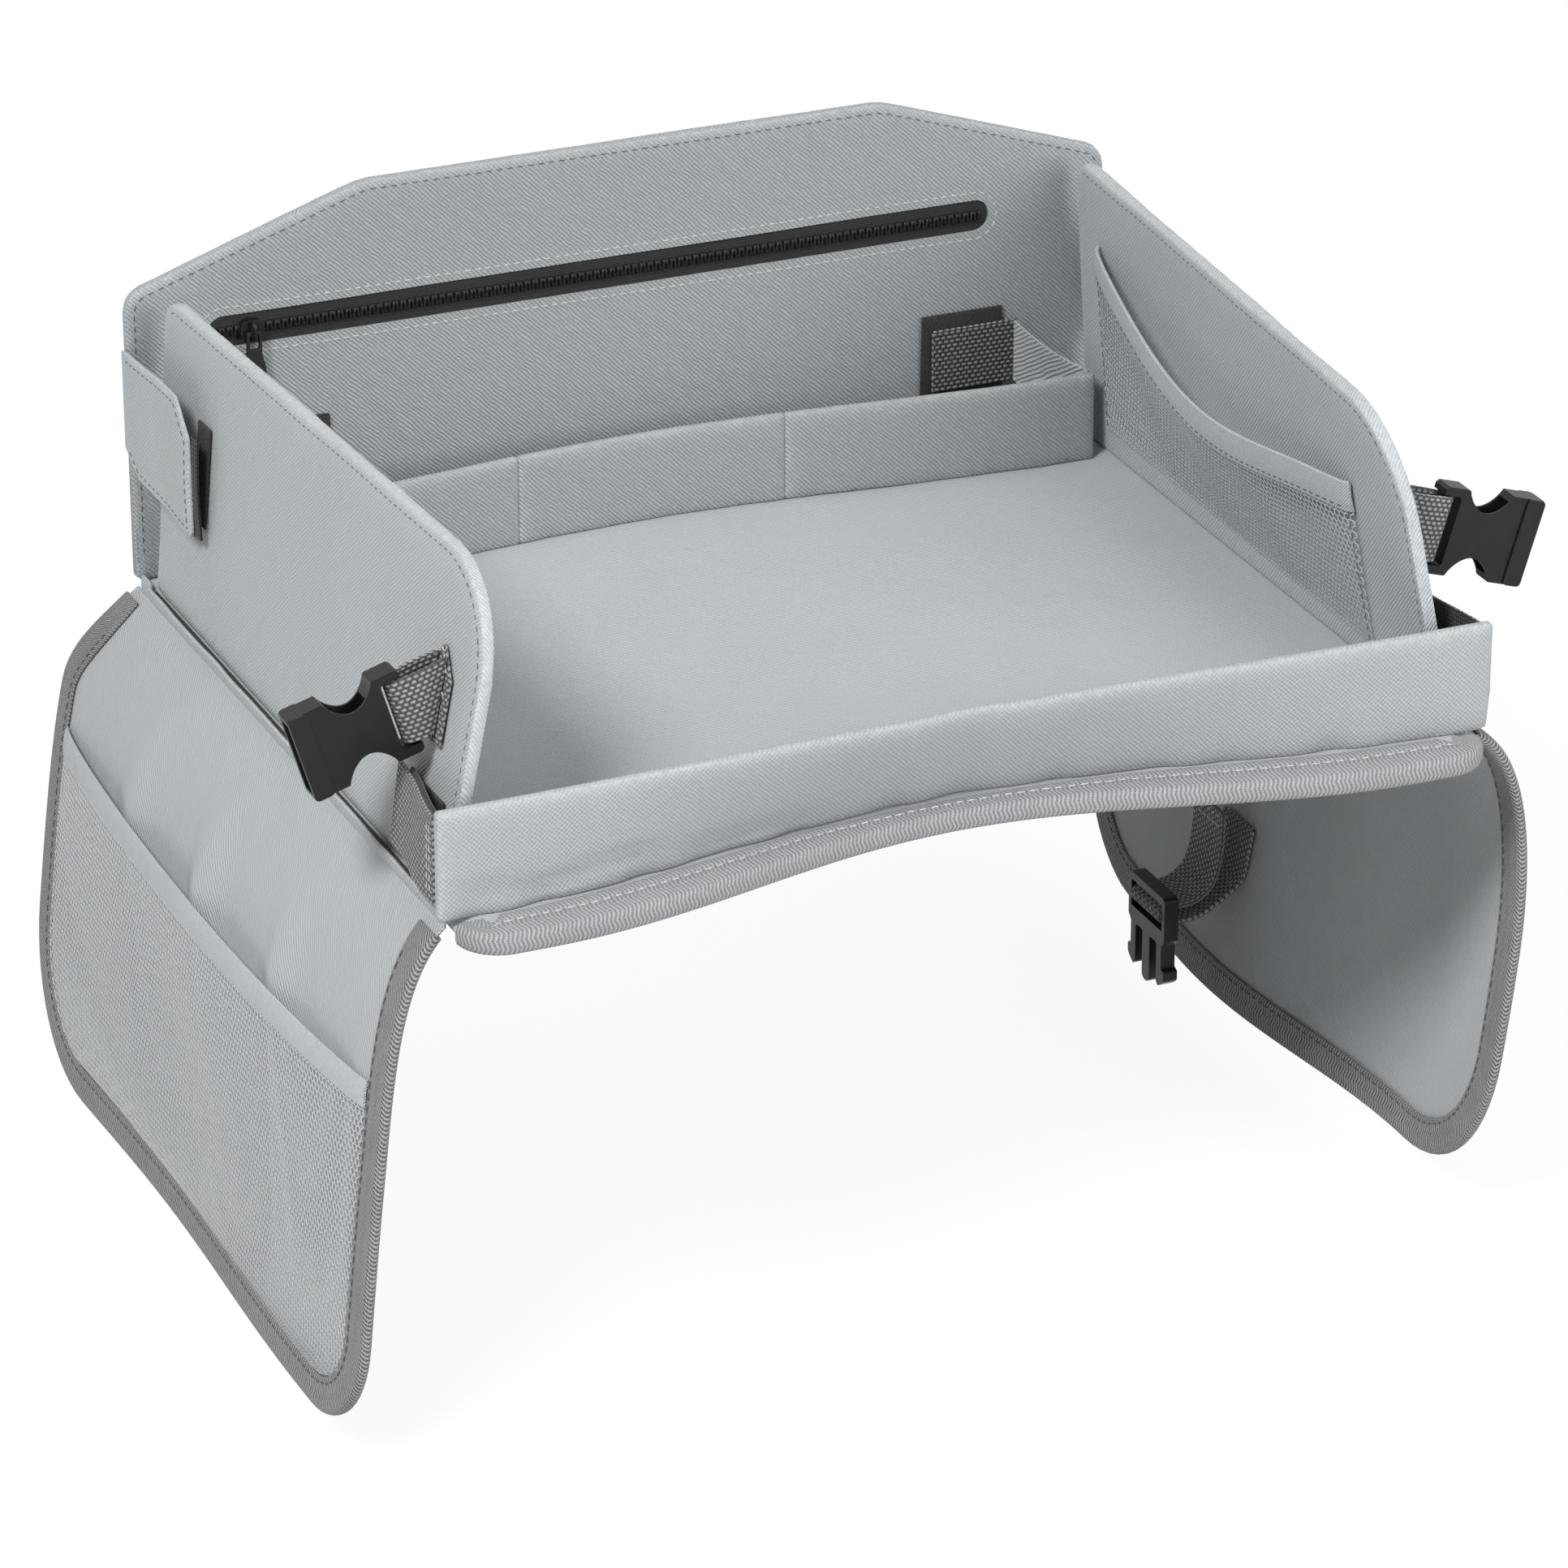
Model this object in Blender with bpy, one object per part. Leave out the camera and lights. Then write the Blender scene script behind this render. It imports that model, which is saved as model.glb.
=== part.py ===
"""A folding travel tray with padded walls, hanging side flaps and release buckles.

Metres, +Z up. X runs across the tray, Y from its front edge to its back wall.
The origin is the centre of the base board's underside.
"""

import math

import bmesh
import bpy
from mathutils import Vector

# Base board
TRAY_WIDTH = 0.400
TRAY_DEPTH = 0.352
BASE_THICKNESS = 0.008
BASE_CORNER_RADIUS = 0.016
BASE_REAR_RADIUS = 0.008
FRONT_CUT_DEPTH = 0.030
FRONT_CUT_HALF_WIDTH = 0.172
BASE_TAPE_WIDTH = 0.009
FLAP_TAPE_WIDTH = 0.012
TAPE_WALL = 0.0010

# Clearances
SEAM_GAP = 0.0003
TAPE_GAP = 0.0007
LOOSE_GAP = 0.0006
STRAP_PLAY = 0.0011

# Side walls
WALL_THICKNESS = 0.007
WALL_HEIGHT = 0.116
WALL_REAR_INSET = 0.010
WALL_FRONT_INSET = 0.032
WALL_FRONT_RADIUS = 0.042
WALL_REAR_RADIUS = 0.010
WALL_FOOT_RADIUS = 0.003
WALL_FOOT_LIFT = 0.0025
WALL_LEAN = math.radians(7.5)
WALL_TWIST = math.radians(8)
WALL_STATIONS = 14
PAD_ROUNDING = 0.0024

# Back wall
BACK_WIDTH = 0.408
BACK_THICKNESS = 0.007
BACK_END_HEIGHT = 0.116
BACK_CENTRE_HEIGHT = 0.148
BACK_PLATEAU_HALF = 0.108
BACK_TOP_RADIUS = 0.022
BACK_END_RADIUS = 0.010
BACK_REAR_INSET = 0.003

# Corner tabs
TAB_LENGTH = 0.066
TAB_HEIGHT = 0.052
TAB_FOOT = 0.042
TAB_CHAMFER = 0.013
TAB_THICKNESS = 0.0016
TAB_ROUNDING = 0.004
TAB_FOOT_ROUNDING = 0.002
TAB_AJAR = math.radians(-3.5)
HOOK_WIDTH = 0.012
HOOK_HEIGHT = 0.040
HOOK_OVERHANG = 0.004
HOOK_THICKNESS = 0.0012

# Front rail
RAIL_HEIGHT = 0.042
RAIL_THICKNESS = 0.006
RAIL_SETBACK = 0.018
RAIL_BOW = 0.025
RAIL_TOP_BOW = 0.004
RAIL_OVERHANG = 0.0065
RAIL_STRAP_LENGTH = 0.048
RAIL_STRAP_HEIGHT = 0.034
RAIL_STRAP_FOOT = 0.005
RAIL_VELCRO_LENGTH = 0.040
RAIL_VELCRO_HEIGHT = 0.033
RAIL_VELCRO_FOOT = 0.008

# Divider
DIVIDER_HEIGHT = 0.036
DIVIDER_THICKNESS = 0.005
DIVIDER_END_INSET = 0.015
DIVIDER_CREASE = 0.056
DIVIDER_SETBACK = 0.033
DIVIDER_BOW = 0.013
RETURN_THICKNESS = 0.0018
RETURN_REACH = 0.020
DIVIDER_STRAP_LENGTH = 0.036
DIVIDER_STRAP_FOOT = 0.026
DIVIDER_VELCRO_RISE = 0.006

# Webbing
WEB_WIDTH = 0.025
WEB_THICKNESS = 0.0016

# Zipper
ZIP_START_X = -0.172
ZIP_END_X = 0.154
ZIP_HEIGHT_Z = 0.096
ZIP_WINDOW = 0.013
ZIP_WINDOW_DEPTH = 0.0022
ZIP_TAPE_THICKNESS = 0.0008
COIL_WIDTH = 0.0044
COIL_HEIGHT = 0.0018
SLIDER_LENGTH = 0.0095
SLIDER_WIDTH = 0.0086
SLIDER_WALL = 0.0010
SLIDER_START = 0.017
BRIDGE_WIDTH = 0.0024
BRIDGE_HEIGHT = 0.0037
BRIDGE_BAR = 0.0010
PULL_LENGTH = 0.024
PULL_WIDTH = 0.0090
PULL_NECK = 0.0062
PULL_THICKNESS = 0.0014
PULL_HOLE = 0.0026

# Side flaps
FLAP_DROP = 0.204
FLAP_THICKNESS = 0.0016
FLAP_HINGE_OUT = 0.0011
FLAP_HINGE_Z = 0.0030
FLAP_FRONT_INSET = 0.024
FLAP_REAR_INSET = 0.003
FLAP_FRONT_FLARE = 0.006
FLAP_REAR_FLARE = 0.025
FLAP_FRONT_RADIUS = 0.040
FLAP_REAR_RADIUS = 0.058
FLAP_ROUNDING = 0.030
FLAP_FOLD_LENGTH = 0.280
FLAP_COLUMNS = 25
POCKET_DROP = 0.066
HEM_HEIGHT = 0.012
HEM_THICKNESS = 0.0016
MESH_THICKNESS = 0.0008
FLAP_POCKET_BULGE = 0.011

# Wall pockets
POCKET_FRONT = 0.046
POCKET_REAR = 0.024
POCKET_FOOT = 0.010
POCKET_TOP_FRONT = 0.078
POCKET_TOP_REAR = 0.088
POCKET_SAG = 0.014
POCKET_BULGE = 0.0130

# Release buckles
BUCKLE_LENGTH = 0.043
BUCKLE_WIDTH = 0.034
BUCKLE_THICKNESS = 0.0105
BUCKLE_WALL = 0.0018
BUCKLE_WAIST = 0.0088
BUCKLE_MOUTH_DEPTH = 0.029
BUCKLE_BAR = 0.0032
BUCKLE_SLOT = 0.0044
BUCKLE_DROOP = math.radians(28)
BUCKLE_STANDOFF = 0.014
BUCKLE_POSITION = 0.026
BUCKLE_HEIGHT = 0.060
CLIP_LENGTH = 0.042
CLIP_WIDTH = 0.032
CLIP_THICKNESS = 0.0062
PRONG_WIDTH = 0.0042
PRONG_BARB = 0.0024
GUIDE_WIDTH = 0.0064
CLIP_POSITION = 0.048
CLIP_DROP = 0.150
CLIP_REACH = 0.034
CLIP_TAIL = 0.040
CLIP_SEAM_HEIGHT = 0.018

# How each flap hangs: how far its shoulder stands out, the slope below it, and its fold's depth
FLAP_HANG = {
    "left": (0.021, math.radians(5.2), 0.0015),
    "right": (0.038, math.radians(-9), 0.0060),
}
SIDES = {"left": -1, "right": 1}

# Shares of an outline along which rounded corners are stepped
CORNER_STEPS = 6

# Colour, roughness and metallic value of each finish
FINISHES = {
    "grey_fabric": ((0.43, 0.45, 0.46), 0.85, 0.0),
    "grey_tape": ((0.20, 0.205, 0.21), 0.80, 0.0),
    "grey_mesh": ((0.36, 0.37, 0.38), 0.80, 0.0),
    "grey_webbing": ((0.15, 0.155, 0.16), 0.75, 0.0),
    "black_velcro": ((0.012, 0.012, 0.014), 0.95, 0.0),
    "black_plastic": ((0.014, 0.014, 0.016), 0.35, 0.0),
    "black_zip": ((0.016, 0.016, 0.018), 0.50, 0.0),
}

FRONT_Y = -TRAY_DEPTH / 2
REAR_Y = TRAY_DEPTH / 2
HALF_WIDTH = TRAY_WIDTH / 2
DIVIDER_HALF = HALF_WIDTH - DIVIDER_END_INSET
WALL_START_Y = FRONT_Y + WALL_FRONT_INSET
BACK_REAR_Y = REAR_Y - BACK_REAR_INSET
BACK_FRONT_Y = BACK_REAR_Y - BACK_THICKNESS
WALL_LENGTH = BACK_FRONT_Y - WALL_REAR_INSET - WALL_START_Y


def material(finish):
    """Return the named finish, making it on first use."""
    found = bpy.data.materials.get(finish)
    if found:
        return found
    colour, roughness, metallic = FINISHES[finish]
    made = bpy.data.materials.new(finish)
    made.use_nodes = True
    shader = made.node_tree.nodes["Principled BSDF"]
    shader.inputs["Base Color"].default_value = (*colour, 1.0)
    shader.inputs["Roughness"].default_value = roughness
    shader.inputs["Metallic"].default_value = metallic
    return made


def frame(name, location, turn=(0, 0, 0), parent=None):
    """Return an empty that carries pieces which move together."""
    empty = bpy.data.objects.new(name, None)
    bpy.context.scene.collection.objects.link(empty)
    empty.location = location
    empty.rotation_euler = turn
    empty.parent = parent
    return empty


def add_object(name, mesh_builder, finish, parent=None, smooth=None):
    """Turn a bmesh into a named, finished object with its faces outward."""
    bmesh.ops.recalc_face_normals(mesh_builder, faces=mesh_builder.faces)
    mesh = bpy.data.meshes.new(name)
    mesh_builder.to_mesh(mesh)
    mesh_builder.free()
    mesh.materials.append(material(finish))
    made = bpy.data.objects.new(name, mesh)
    bpy.context.scene.collection.objects.link(made)
    made.parent = parent
    if smooth is not None:
        mesh.shade_smooth()
        mesh.set_sharp_from_angle(angle=smooth)
    return made


def rounded(corners, steps=CORNER_STEPS):
    """Return a closed outline from (u, v, radius) corners, each one filleted."""
    outline = []
    count = len(corners)
    for index, (u, v, radius) in enumerate(corners):
        here = Vector((u, v))
        if radius == 0:
            outline.append(here)
            continue
        before = (Vector(corners[index - 1][:2]) - here).normalized()
        after = (Vector(corners[(index + 1) % count][:2]) - here).normalized()
        half = before.angle(after) / 2
        centre = here + (before + after).normalized() * (radius / math.sin(half))
        start = here + before * (radius / math.tan(half)) - centre
        end = here + after * (radius / math.tan(half)) - centre
        turn = start.angle_signed(end)
        for step in range(steps + 1):
            angle = -turn * step / steps
            cos, sin = math.cos(angle), math.sin(angle)
            outline.append(
                centre + Vector((start.x * cos - start.y * sin, start.x * sin + start.y * cos))
            )
    return outline


def slab(outline, low, high, place):
    """Extrude a flat outline from low to high. place turns (u, v, w) into a point."""
    built = bmesh.new()
    bottom = [built.verts.new(place(u, v, low)) for u, v in outline]
    base = built.faces.new(bottom)
    raised = bmesh.ops.extrude_face_region(built, geom=[base])["geom"]
    lifted = [item for item in raised if isinstance(item, bmesh.types.BMVert)]
    move = Vector(place(0, 0, high)) - Vector(place(0, 0, low))
    bmesh.ops.translate(built, verts=lifted, vec=move)
    return built


def loft(rings, closed=False):
    """Join rings of equal length into a skin, capped at its ends unless it closes on itself."""
    built = bmesh.new()
    rows = [[built.verts.new(point) for point in ring] for ring in rings]
    pairs = list(zip(rows, rows[1:]))
    if closed:
        pairs.append((rows[-1], rows[0]))
    for first, second in pairs:
        count = len(first)
        for index in range(count):
            after = (index + 1) % count
            built.faces.new((first[index], first[after], second[after], second[index]))
    if not closed:
        built.faces.new(rows[0])
        built.faces.new(rows[-1])
    return built


def sheet(rows):
    """Join rows of points into an open surface, to be given its thickness by Solidify."""
    built = bmesh.new()
    grid = [[built.verts.new(point) for point in row] for row in rows]
    for first, second in zip(grid, grid[1:]):
        for index in range(len(first) - 1):
            built.faces.new((first[index], first[index + 1], second[index + 1], second[index]))
    return built


def soften(made, width, segments=2):
    """Round an object's edges, as padding rounds a sewn cover."""
    bevel = made.modifiers.new("rounded_edges", "BEVEL")
    bevel.width = width
    bevel.segments = segments
    bevel.limit_method = "ANGLE"
    bevel.angle_limit = math.radians(50)
    return made


def thicken(made, thickness):
    """Give a surface its cloth's thickness, half to each side."""
    solid = made.modifiers.new("cloth_thickness", "SOLIDIFY")
    solid.thickness = thickness
    solid.offset = 0
    solid.use_even_offset = True
    return made


def cut(made, cutter):
    """Cut one object out of another and hide the cutter."""
    cutter.hide_render = True
    cutter.display_type = "WIRE"
    hole = made.modifiers.new("cut_" + cutter.name, "BOOLEAN")
    hole.operation = "DIFFERENCE"
    hole.solver = "EXACT"
    hole.object = cutter


def apply_cuts(made):
    """Bake an object's modifiers into its mesh and remove what cut it."""
    cutters = [m.object for m in made.modifiers if m.type == "BOOLEAN"]
    bpy.context.view_layer.update()
    evaluated = made.evaluated_get(bpy.context.evaluated_depsgraph_get())
    baked = bpy.data.meshes.new_from_object(evaluated)
    made.modifiers.clear()
    made.data = baked
    for cutter in cutters:
        bpy.data.objects.remove(cutter)
    return made


def block(name, low, high, parent=None):
    """Return a plain box, used as a cutter."""
    outline = [(low[0], low[1]), (high[0], low[1]), (high[0], high[1]), (low[0], high[1])]
    built = slab(outline, low[2], high[2], lambda u, v, w: (u, v, w))
    return add_object(name, built, "black_plastic", parent)


def ribbon(path, width_direction, width, thickness):
    """Return the rings of a flat band that runs along a path of points."""
    rings = []
    across = Vector(width_direction).normalized() * (width / 2)
    for index, point in enumerate(path):
        before = Vector(path[max(index - 1, 0)])
        after = Vector(path[min(index + 1, len(path) - 1)])
        normal = (after - before).normalized().cross(across.normalized())
        lift = normal * (thickness / 2)
        here = Vector(point)
        rings.append(
            [here - across - lift, here + across - lift, here + across + lift, here - across + lift]
        )
    return rings


def bow(x, half_width):
    """Return 1 in the middle, falling smoothly to 0 at the half width and beyond."""
    share = min(abs(x) / half_width, 1)
    return math.cos(share * math.pi / 2) ** 2


def smooth_step(share):
    """Return a share eased at both of its ends."""
    bounded = min(max(share, 0), 1)
    return bounded * bounded * (3 - 2 * bounded)


def base_front_edge(steps):
    """Return the base board's front edge, from its left corner to its right one."""
    inner = HALF_WIDTH - BASE_CORNER_RADIUS
    points = []
    for step in range(CORNER_STEPS + 1):
        angle = step / CORNER_STEPS * math.pi / 2
        points.append(
            (
                -inner - BASE_CORNER_RADIUS * math.cos(angle),
                FRONT_Y + BASE_CORNER_RADIUS * (1 - math.sin(angle)),
            )
        )
    for step in range(1, steps):
        x = -inner + 2 * inner * step / steps
        points.append((x, FRONT_Y + FRONT_CUT_DEPTH * bow(x, FRONT_CUT_HALF_WIDTH)))
    points += [(-x, y) for x, y in reversed(points[: CORNER_STEPS + 1])]
    return points


def tape_ring(place, half_thickness, width):
    """Return the folded tape's section round an edge. place turns (inset, lift) into a point."""
    inside = half_thickness + TAPE_GAP
    outside = inside + TAPE_WALL
    reach = -TAPE_GAP - TAPE_WALL
    section = [
        (reach, outside),
        (width, outside),
        (width, inside),
        (-TAPE_GAP, inside),
        (-TAPE_GAP, -inside),
        (width, -inside),
        (width, -outside),
        (reach, -outside),
    ]
    return [place(inset, lift) for inset, lift in section]


def inward_of(edge, index):
    """Return the direction into the board at a point of its front edge."""
    before = Vector(edge[max(index - 1, 0)])
    after = Vector(edge[min(index + 1, len(edge) - 1)])
    along = (after - before).normalized()
    return Vector((-along.y, along.x))


def add_base():
    """Build the covered board, thinned along its front edge, and the folded tape round that edge."""
    front = base_front_edge(24)
    last = len(front) - 1
    step_back = BASE_TAPE_WIDTH + LOOSE_GAP
    stepped = []
    for index, point in enumerate(front):
        inward = inward_of(front, index)
        if index in (0, last):
            inward = Vector((1 if index == 0 else -1, 0))
        stepped.append(Vector(point) + inward * step_back)
    side_y = front[0][1] + LOOSE_GAP
    rear = rounded(
        [
            (HALF_WIDTH, side_y, 0),
            (HALF_WIDTH, REAR_Y, BASE_REAR_RADIUS),
            (-HALF_WIDTH, REAR_Y, BASE_REAR_RADIUS),
            (-HALF_WIDTH, side_y, 0),
        ]
    )
    sunk = TAPE_GAP + TAPE_WALL
    levels = [
        (stepped, 0),
        (stepped, sunk),
        (front, sunk),
        (front, BASE_THICKNESS - sunk),
        (stepped, BASE_THICKNESS - sunk),
        (stepped, BASE_THICKNESS),
    ]
    board = loft([[(*point, z) for point in list(edge) + rear] for edge, z in levels])
    bmesh.ops.remove_doubles(board, verts=board.verts, dist=SEAM_GAP / 10)
    add_object("base_board", board, "grey_fabric")

    middle = BASE_THICKNESS / 2
    rings = []
    for index in range(1, last):
        here = Vector(front[index])
        inward = inward_of(front, index)
        rings.append(
            tape_ring(
                lambda inset, lift: (*(here + inward * inset), middle + lift),
                middle - sunk,
                BASE_TAPE_WIDTH,
            )
        )
    add_object("base_front_tape", loft(rings), "grey_tape")


def wall_frame(side):
    """Return the empty on a side wall's fold line, leaning as the standing wall does."""
    sign = SIDES[side]
    axis_x = sign * (HALF_WIDTH - WALL_THICKNESS)
    location = (axis_x, WALL_START_Y, BASE_THICKNESS + WALL_FOOT_LIFT)
    return frame(side + "_wall_frame", location, (0, -sign * WALL_LEAN, 0))


def wall_turn(along):
    """Return how much further in than its middle a side wall leans at a length along it."""
    return WALL_TWIST * (0.5 - along / WALL_LENGTH)


def on_wall(sign, along, height, out):
    """Return the place in a side wall's frame of a point by its length, height and way out."""
    turn = wall_turn(along)
    cos, sin = math.cos(turn), math.sin(turn)
    return (sign * (out * cos - height * sin), along, height * cos + out * sin)


def add_side_wall(side, carrier):
    """Build one padded side wall: straight foot, well rounded front corner, slightly twisted."""
    sign = SIDES[side]
    lean = WALL_LEAN - WALL_TWIST / 2
    fall = WALL_FOOT_LIFT - SEAM_GAP + PAD_ROUNDING * math.sin(lean)
    foot = -fall / math.cos(lean)
    corners = [
        (0, foot, WALL_FOOT_RADIUS),
        (WALL_LENGTH, foot, WALL_FOOT_RADIUS),
        (WALL_LENGTH, WALL_HEIGHT, WALL_REAR_RADIUS),
        (0, WALL_HEIGHT, WALL_FRONT_RADIUS),
    ]
    built = slab(rounded(corners), 0, WALL_THICKNESS, lambda u, v, w: (w, u, v))
    built.normal_update()
    rims = [edge for edge in built.edges if edge.calc_face_angle() > math.radians(50)]
    bmesh.ops.bevel(
        built, geom=rims, offset=PAD_ROUNDING, segments=2, profile=0.5, affect="EDGES"
    )
    for step in range(1, WALL_STATIONS):
        bmesh.ops.bisect_plane(
            built,
            geom=built.verts[:] + built.edges[:] + built.faces[:],
            plane_co=(0, WALL_LENGTH * step / WALL_STATIONS, 0),
            plane_no=(0, 1, 0),
        )
    for vertex in built.verts:
        out, along, height = vertex.co
        vertex.co = on_wall(sign, along, height, out)
    built.normal_update()
    add_object(side + "_wall", built, "grey_fabric", carrier, math.radians(40))


def pocket_depth(share_along, share_up):
    """Return how far a wall pocket's net stands off at a place on it."""
    fullness = math.sin(math.pi * share_along) ** 0.6 if 0 < share_along < 1 else 0
    return POCKET_BULGE * fullness * share_up


def pocket_top(share_along):
    """Return the height of a wall pocket's slack hem, from its front end to its rear end."""
    straight = POCKET_TOP_FRONT + (POCKET_TOP_REAR - POCKET_TOP_FRONT) * share_along
    return straight - POCKET_SAG * math.sin(math.pi * share_along) ** 2


def add_wall_pocket(side, carrier):
    """Build the net and the hem of the pocket on a side wall's inner face."""
    sign = SIDES[side]
    start = POCKET_FRONT
    length = WALL_LENGTH - POCKET_FRONT - POCKET_REAR
    rest = SEAM_GAP + HEM_THICKNESS / 2

    def point(share_along, height, share_up):
        stand_off = rest + pocket_depth(share_along, share_up)
        return on_wall(sign, start + length * share_along, height, -stand_off)

    def net_height(share_along, share_up):
        reach = pocket_top(share_along) - HEM_HEIGHT - SEAM_GAP - POCKET_FOOT
        return POCKET_FOOT + reach * share_up

    columns = [step / 14 for step in range(15)]
    net_rows = []
    for step in range(6):
        share = step / 5
        net_rows.append([point(u, net_height(u, share), share) for u in columns])
    net = add_object(side + "_wall_pocket_net", sheet(net_rows), "grey_mesh", carrier)
    thicken(net, MESH_THICKNESS)
    hem_rows = [
        [point(u, pocket_top(u) - HEM_HEIGHT, 1) for u in columns],
        [point(u, pocket_top(u), 1) for u in columns],
    ]
    hem = add_object(side + "_wall_pocket_hem", sheet(hem_rows), "grey_fabric", carrier)
    thicken(hem, HEM_THICKNESS)


def back_outline():
    """Return the back wall's outline: upright ends and a raised middle."""
    half = BACK_WIDTH / 2
    return rounded(
        [
            (-half, 0, WALL_FOOT_RADIUS),
            (half, 0, WALL_FOOT_RADIUS),
            (half, BACK_END_HEIGHT, BACK_END_RADIUS),
            (BACK_PLATEAU_HALF, BACK_CENTRE_HEIGHT, BACK_TOP_RADIUS),
            (-BACK_PLATEAU_HALF, BACK_CENTRE_HEIGHT, BACK_TOP_RADIUS),
            (-half, BACK_END_HEIGHT, BACK_END_RADIUS),
        ]
    )


def add_back_wall(carrier):
    """Build the back wall with the long window in which its zipper lies."""
    built = slab(back_outline(), -BACK_THICKNESS, 0, lambda u, v, w: (u, w, v))
    wall = add_object("back_wall", built, "grey_fabric", carrier, math.radians(40))
    soften(wall, PAD_ROUNDING)
    face = -BACK_THICKNESS
    low = (ZIP_START_X, face - ZIP_WINDOW_DEPTH, ZIP_HEIGHT_Z - ZIP_WINDOW / 2)
    high = (ZIP_END_X, face + ZIP_WINDOW_DEPTH, ZIP_HEIGHT_Z + ZIP_WINDOW / 2)
    cut(wall, block("zip_window", low, high, carrier))
    apply_cuts(wall)


def add_zipper(carrier):
    """Build the zipper's tape and its closed row of teeth in the back wall's window."""
    floor = -BACK_THICKNESS + ZIP_WINDOW_DEPTH
    start = ZIP_START_X + SEAM_GAP
    end = ZIP_END_X - SEAM_GAP
    half = ZIP_WINDOW / 2 - SEAM_GAP
    low = (start, floor - SEAM_GAP - ZIP_TAPE_THICKNESS, ZIP_HEIGHT_Z - half)
    high = (end, floor - SEAM_GAP, ZIP_HEIGHT_Z + half)
    outline = [(low[0], low[2]), (high[0], low[2]), (high[0], high[2]), (low[0], high[2])]
    tape = slab(outline, low[1], high[1], lambda u, v, w: (u, w, v))
    add_object("zip_tape", tape, "black_zip", carrier)

    foot = low[1] - SEAM_GAP
    section = [
        (foot, -COIL_WIDTH / 2),
        (foot, COIL_WIDTH / 2),
        (foot - COIL_HEIGHT * 0.7, COIL_WIDTH * 0.42),
        (foot - COIL_HEIGHT, COIL_WIDTH * 0.2),
        (foot - COIL_HEIGHT, -COIL_WIDTH * 0.2),
        (foot - COIL_HEIGHT * 0.7, -COIL_WIDTH * 0.42),
    ]
    margin = SLIDER_WALL * 2
    rings = [
        [(x, y, ZIP_HEIGHT_Z + z) for y, z in section] for x in (start + margin, end - margin)
    ]
    add_object("zip_teeth", loft(rings), "black_zip", carrier)
    return foot


def add_slider(carrier, foot):
    """Build the slider that straddles the teeth, and the pull that hangs on its bridge."""
    half_width = SLIDER_WIDTH / 2
    inner = COIL_WIDTH / 2 + SEAM_GAP
    top = foot - COIL_HEIGHT - SEAM_GAP
    face = top - SLIDER_WALL
    saddle = [
        (-half_width, foot),
        (-inner, foot),
        (-inner, top),
        (inner, top),
        (inner, foot),
        (half_width, foot),
        (half_width, face + SLIDER_WALL / 2),
        (half_width - SLIDER_WALL / 2, face),
        (-half_width + SLIDER_WALL / 2, face),
        (-half_width, face + SLIDER_WALL / 2),
    ]
    carried = frame(
        "slider_frame", (ZIP_START_X + SLIDER_START, 0, ZIP_HEIGHT_Z), parent=carrier
    )
    rings = [
        [(x, y, z) for z, y in saddle] for x in (-SLIDER_LENGTH / 2, SLIDER_LENGTH / 2)
    ]
    slider = loft(rings)
    foot_z = SLIDER_WIDTH * 0.42
    ridge = face - BRIDGE_HEIGHT
    sunk = face + SLIDER_WALL / 2
    arch = [
        (sunk, -foot_z),
        (ridge, -foot_z + BRIDGE_BAR),
        (ridge, foot_z - BRIDGE_BAR),
        (sunk, foot_z),
        (sunk, foot_z - BRIDGE_BAR * 1.4),
        (ridge + BRIDGE_BAR, foot_z - BRIDGE_BAR * 2),
        (ridge + BRIDGE_BAR, -foot_z + BRIDGE_BAR * 2),
        (sunk, -foot_z + BRIDGE_BAR * 1.4),
    ]
    half_bridge = BRIDGE_WIDTH / 2
    bridge = slab(arch, -half_bridge, half_bridge, lambda u, v, w: (w, u, v))
    body = add_object("zip_slider", slider, "black_zip", carried)
    join(body, add_object("slider_bridge", bridge, "black_zip", carried))

    pin_y = face - (BRIDGE_HEIGHT - BRIDGE_BAR) / 2
    pin_z = -foot_z + BRIDGE_BAR * 1.7 + PULL_THICKNESS * 0.72 + SEAM_GAP
    add_pull(frame("pull_frame", (0, pin_y, pin_z), parent=carried))


def join(body, other):
    """Fuse a second solid into a first one that it overlaps."""
    union = body.modifiers.new("join_" + other.name, "BOOLEAN")
    union.operation = "UNION"
    union.solver = "EXACT"
    union.object = other
    apply_cuts(body)


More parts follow.
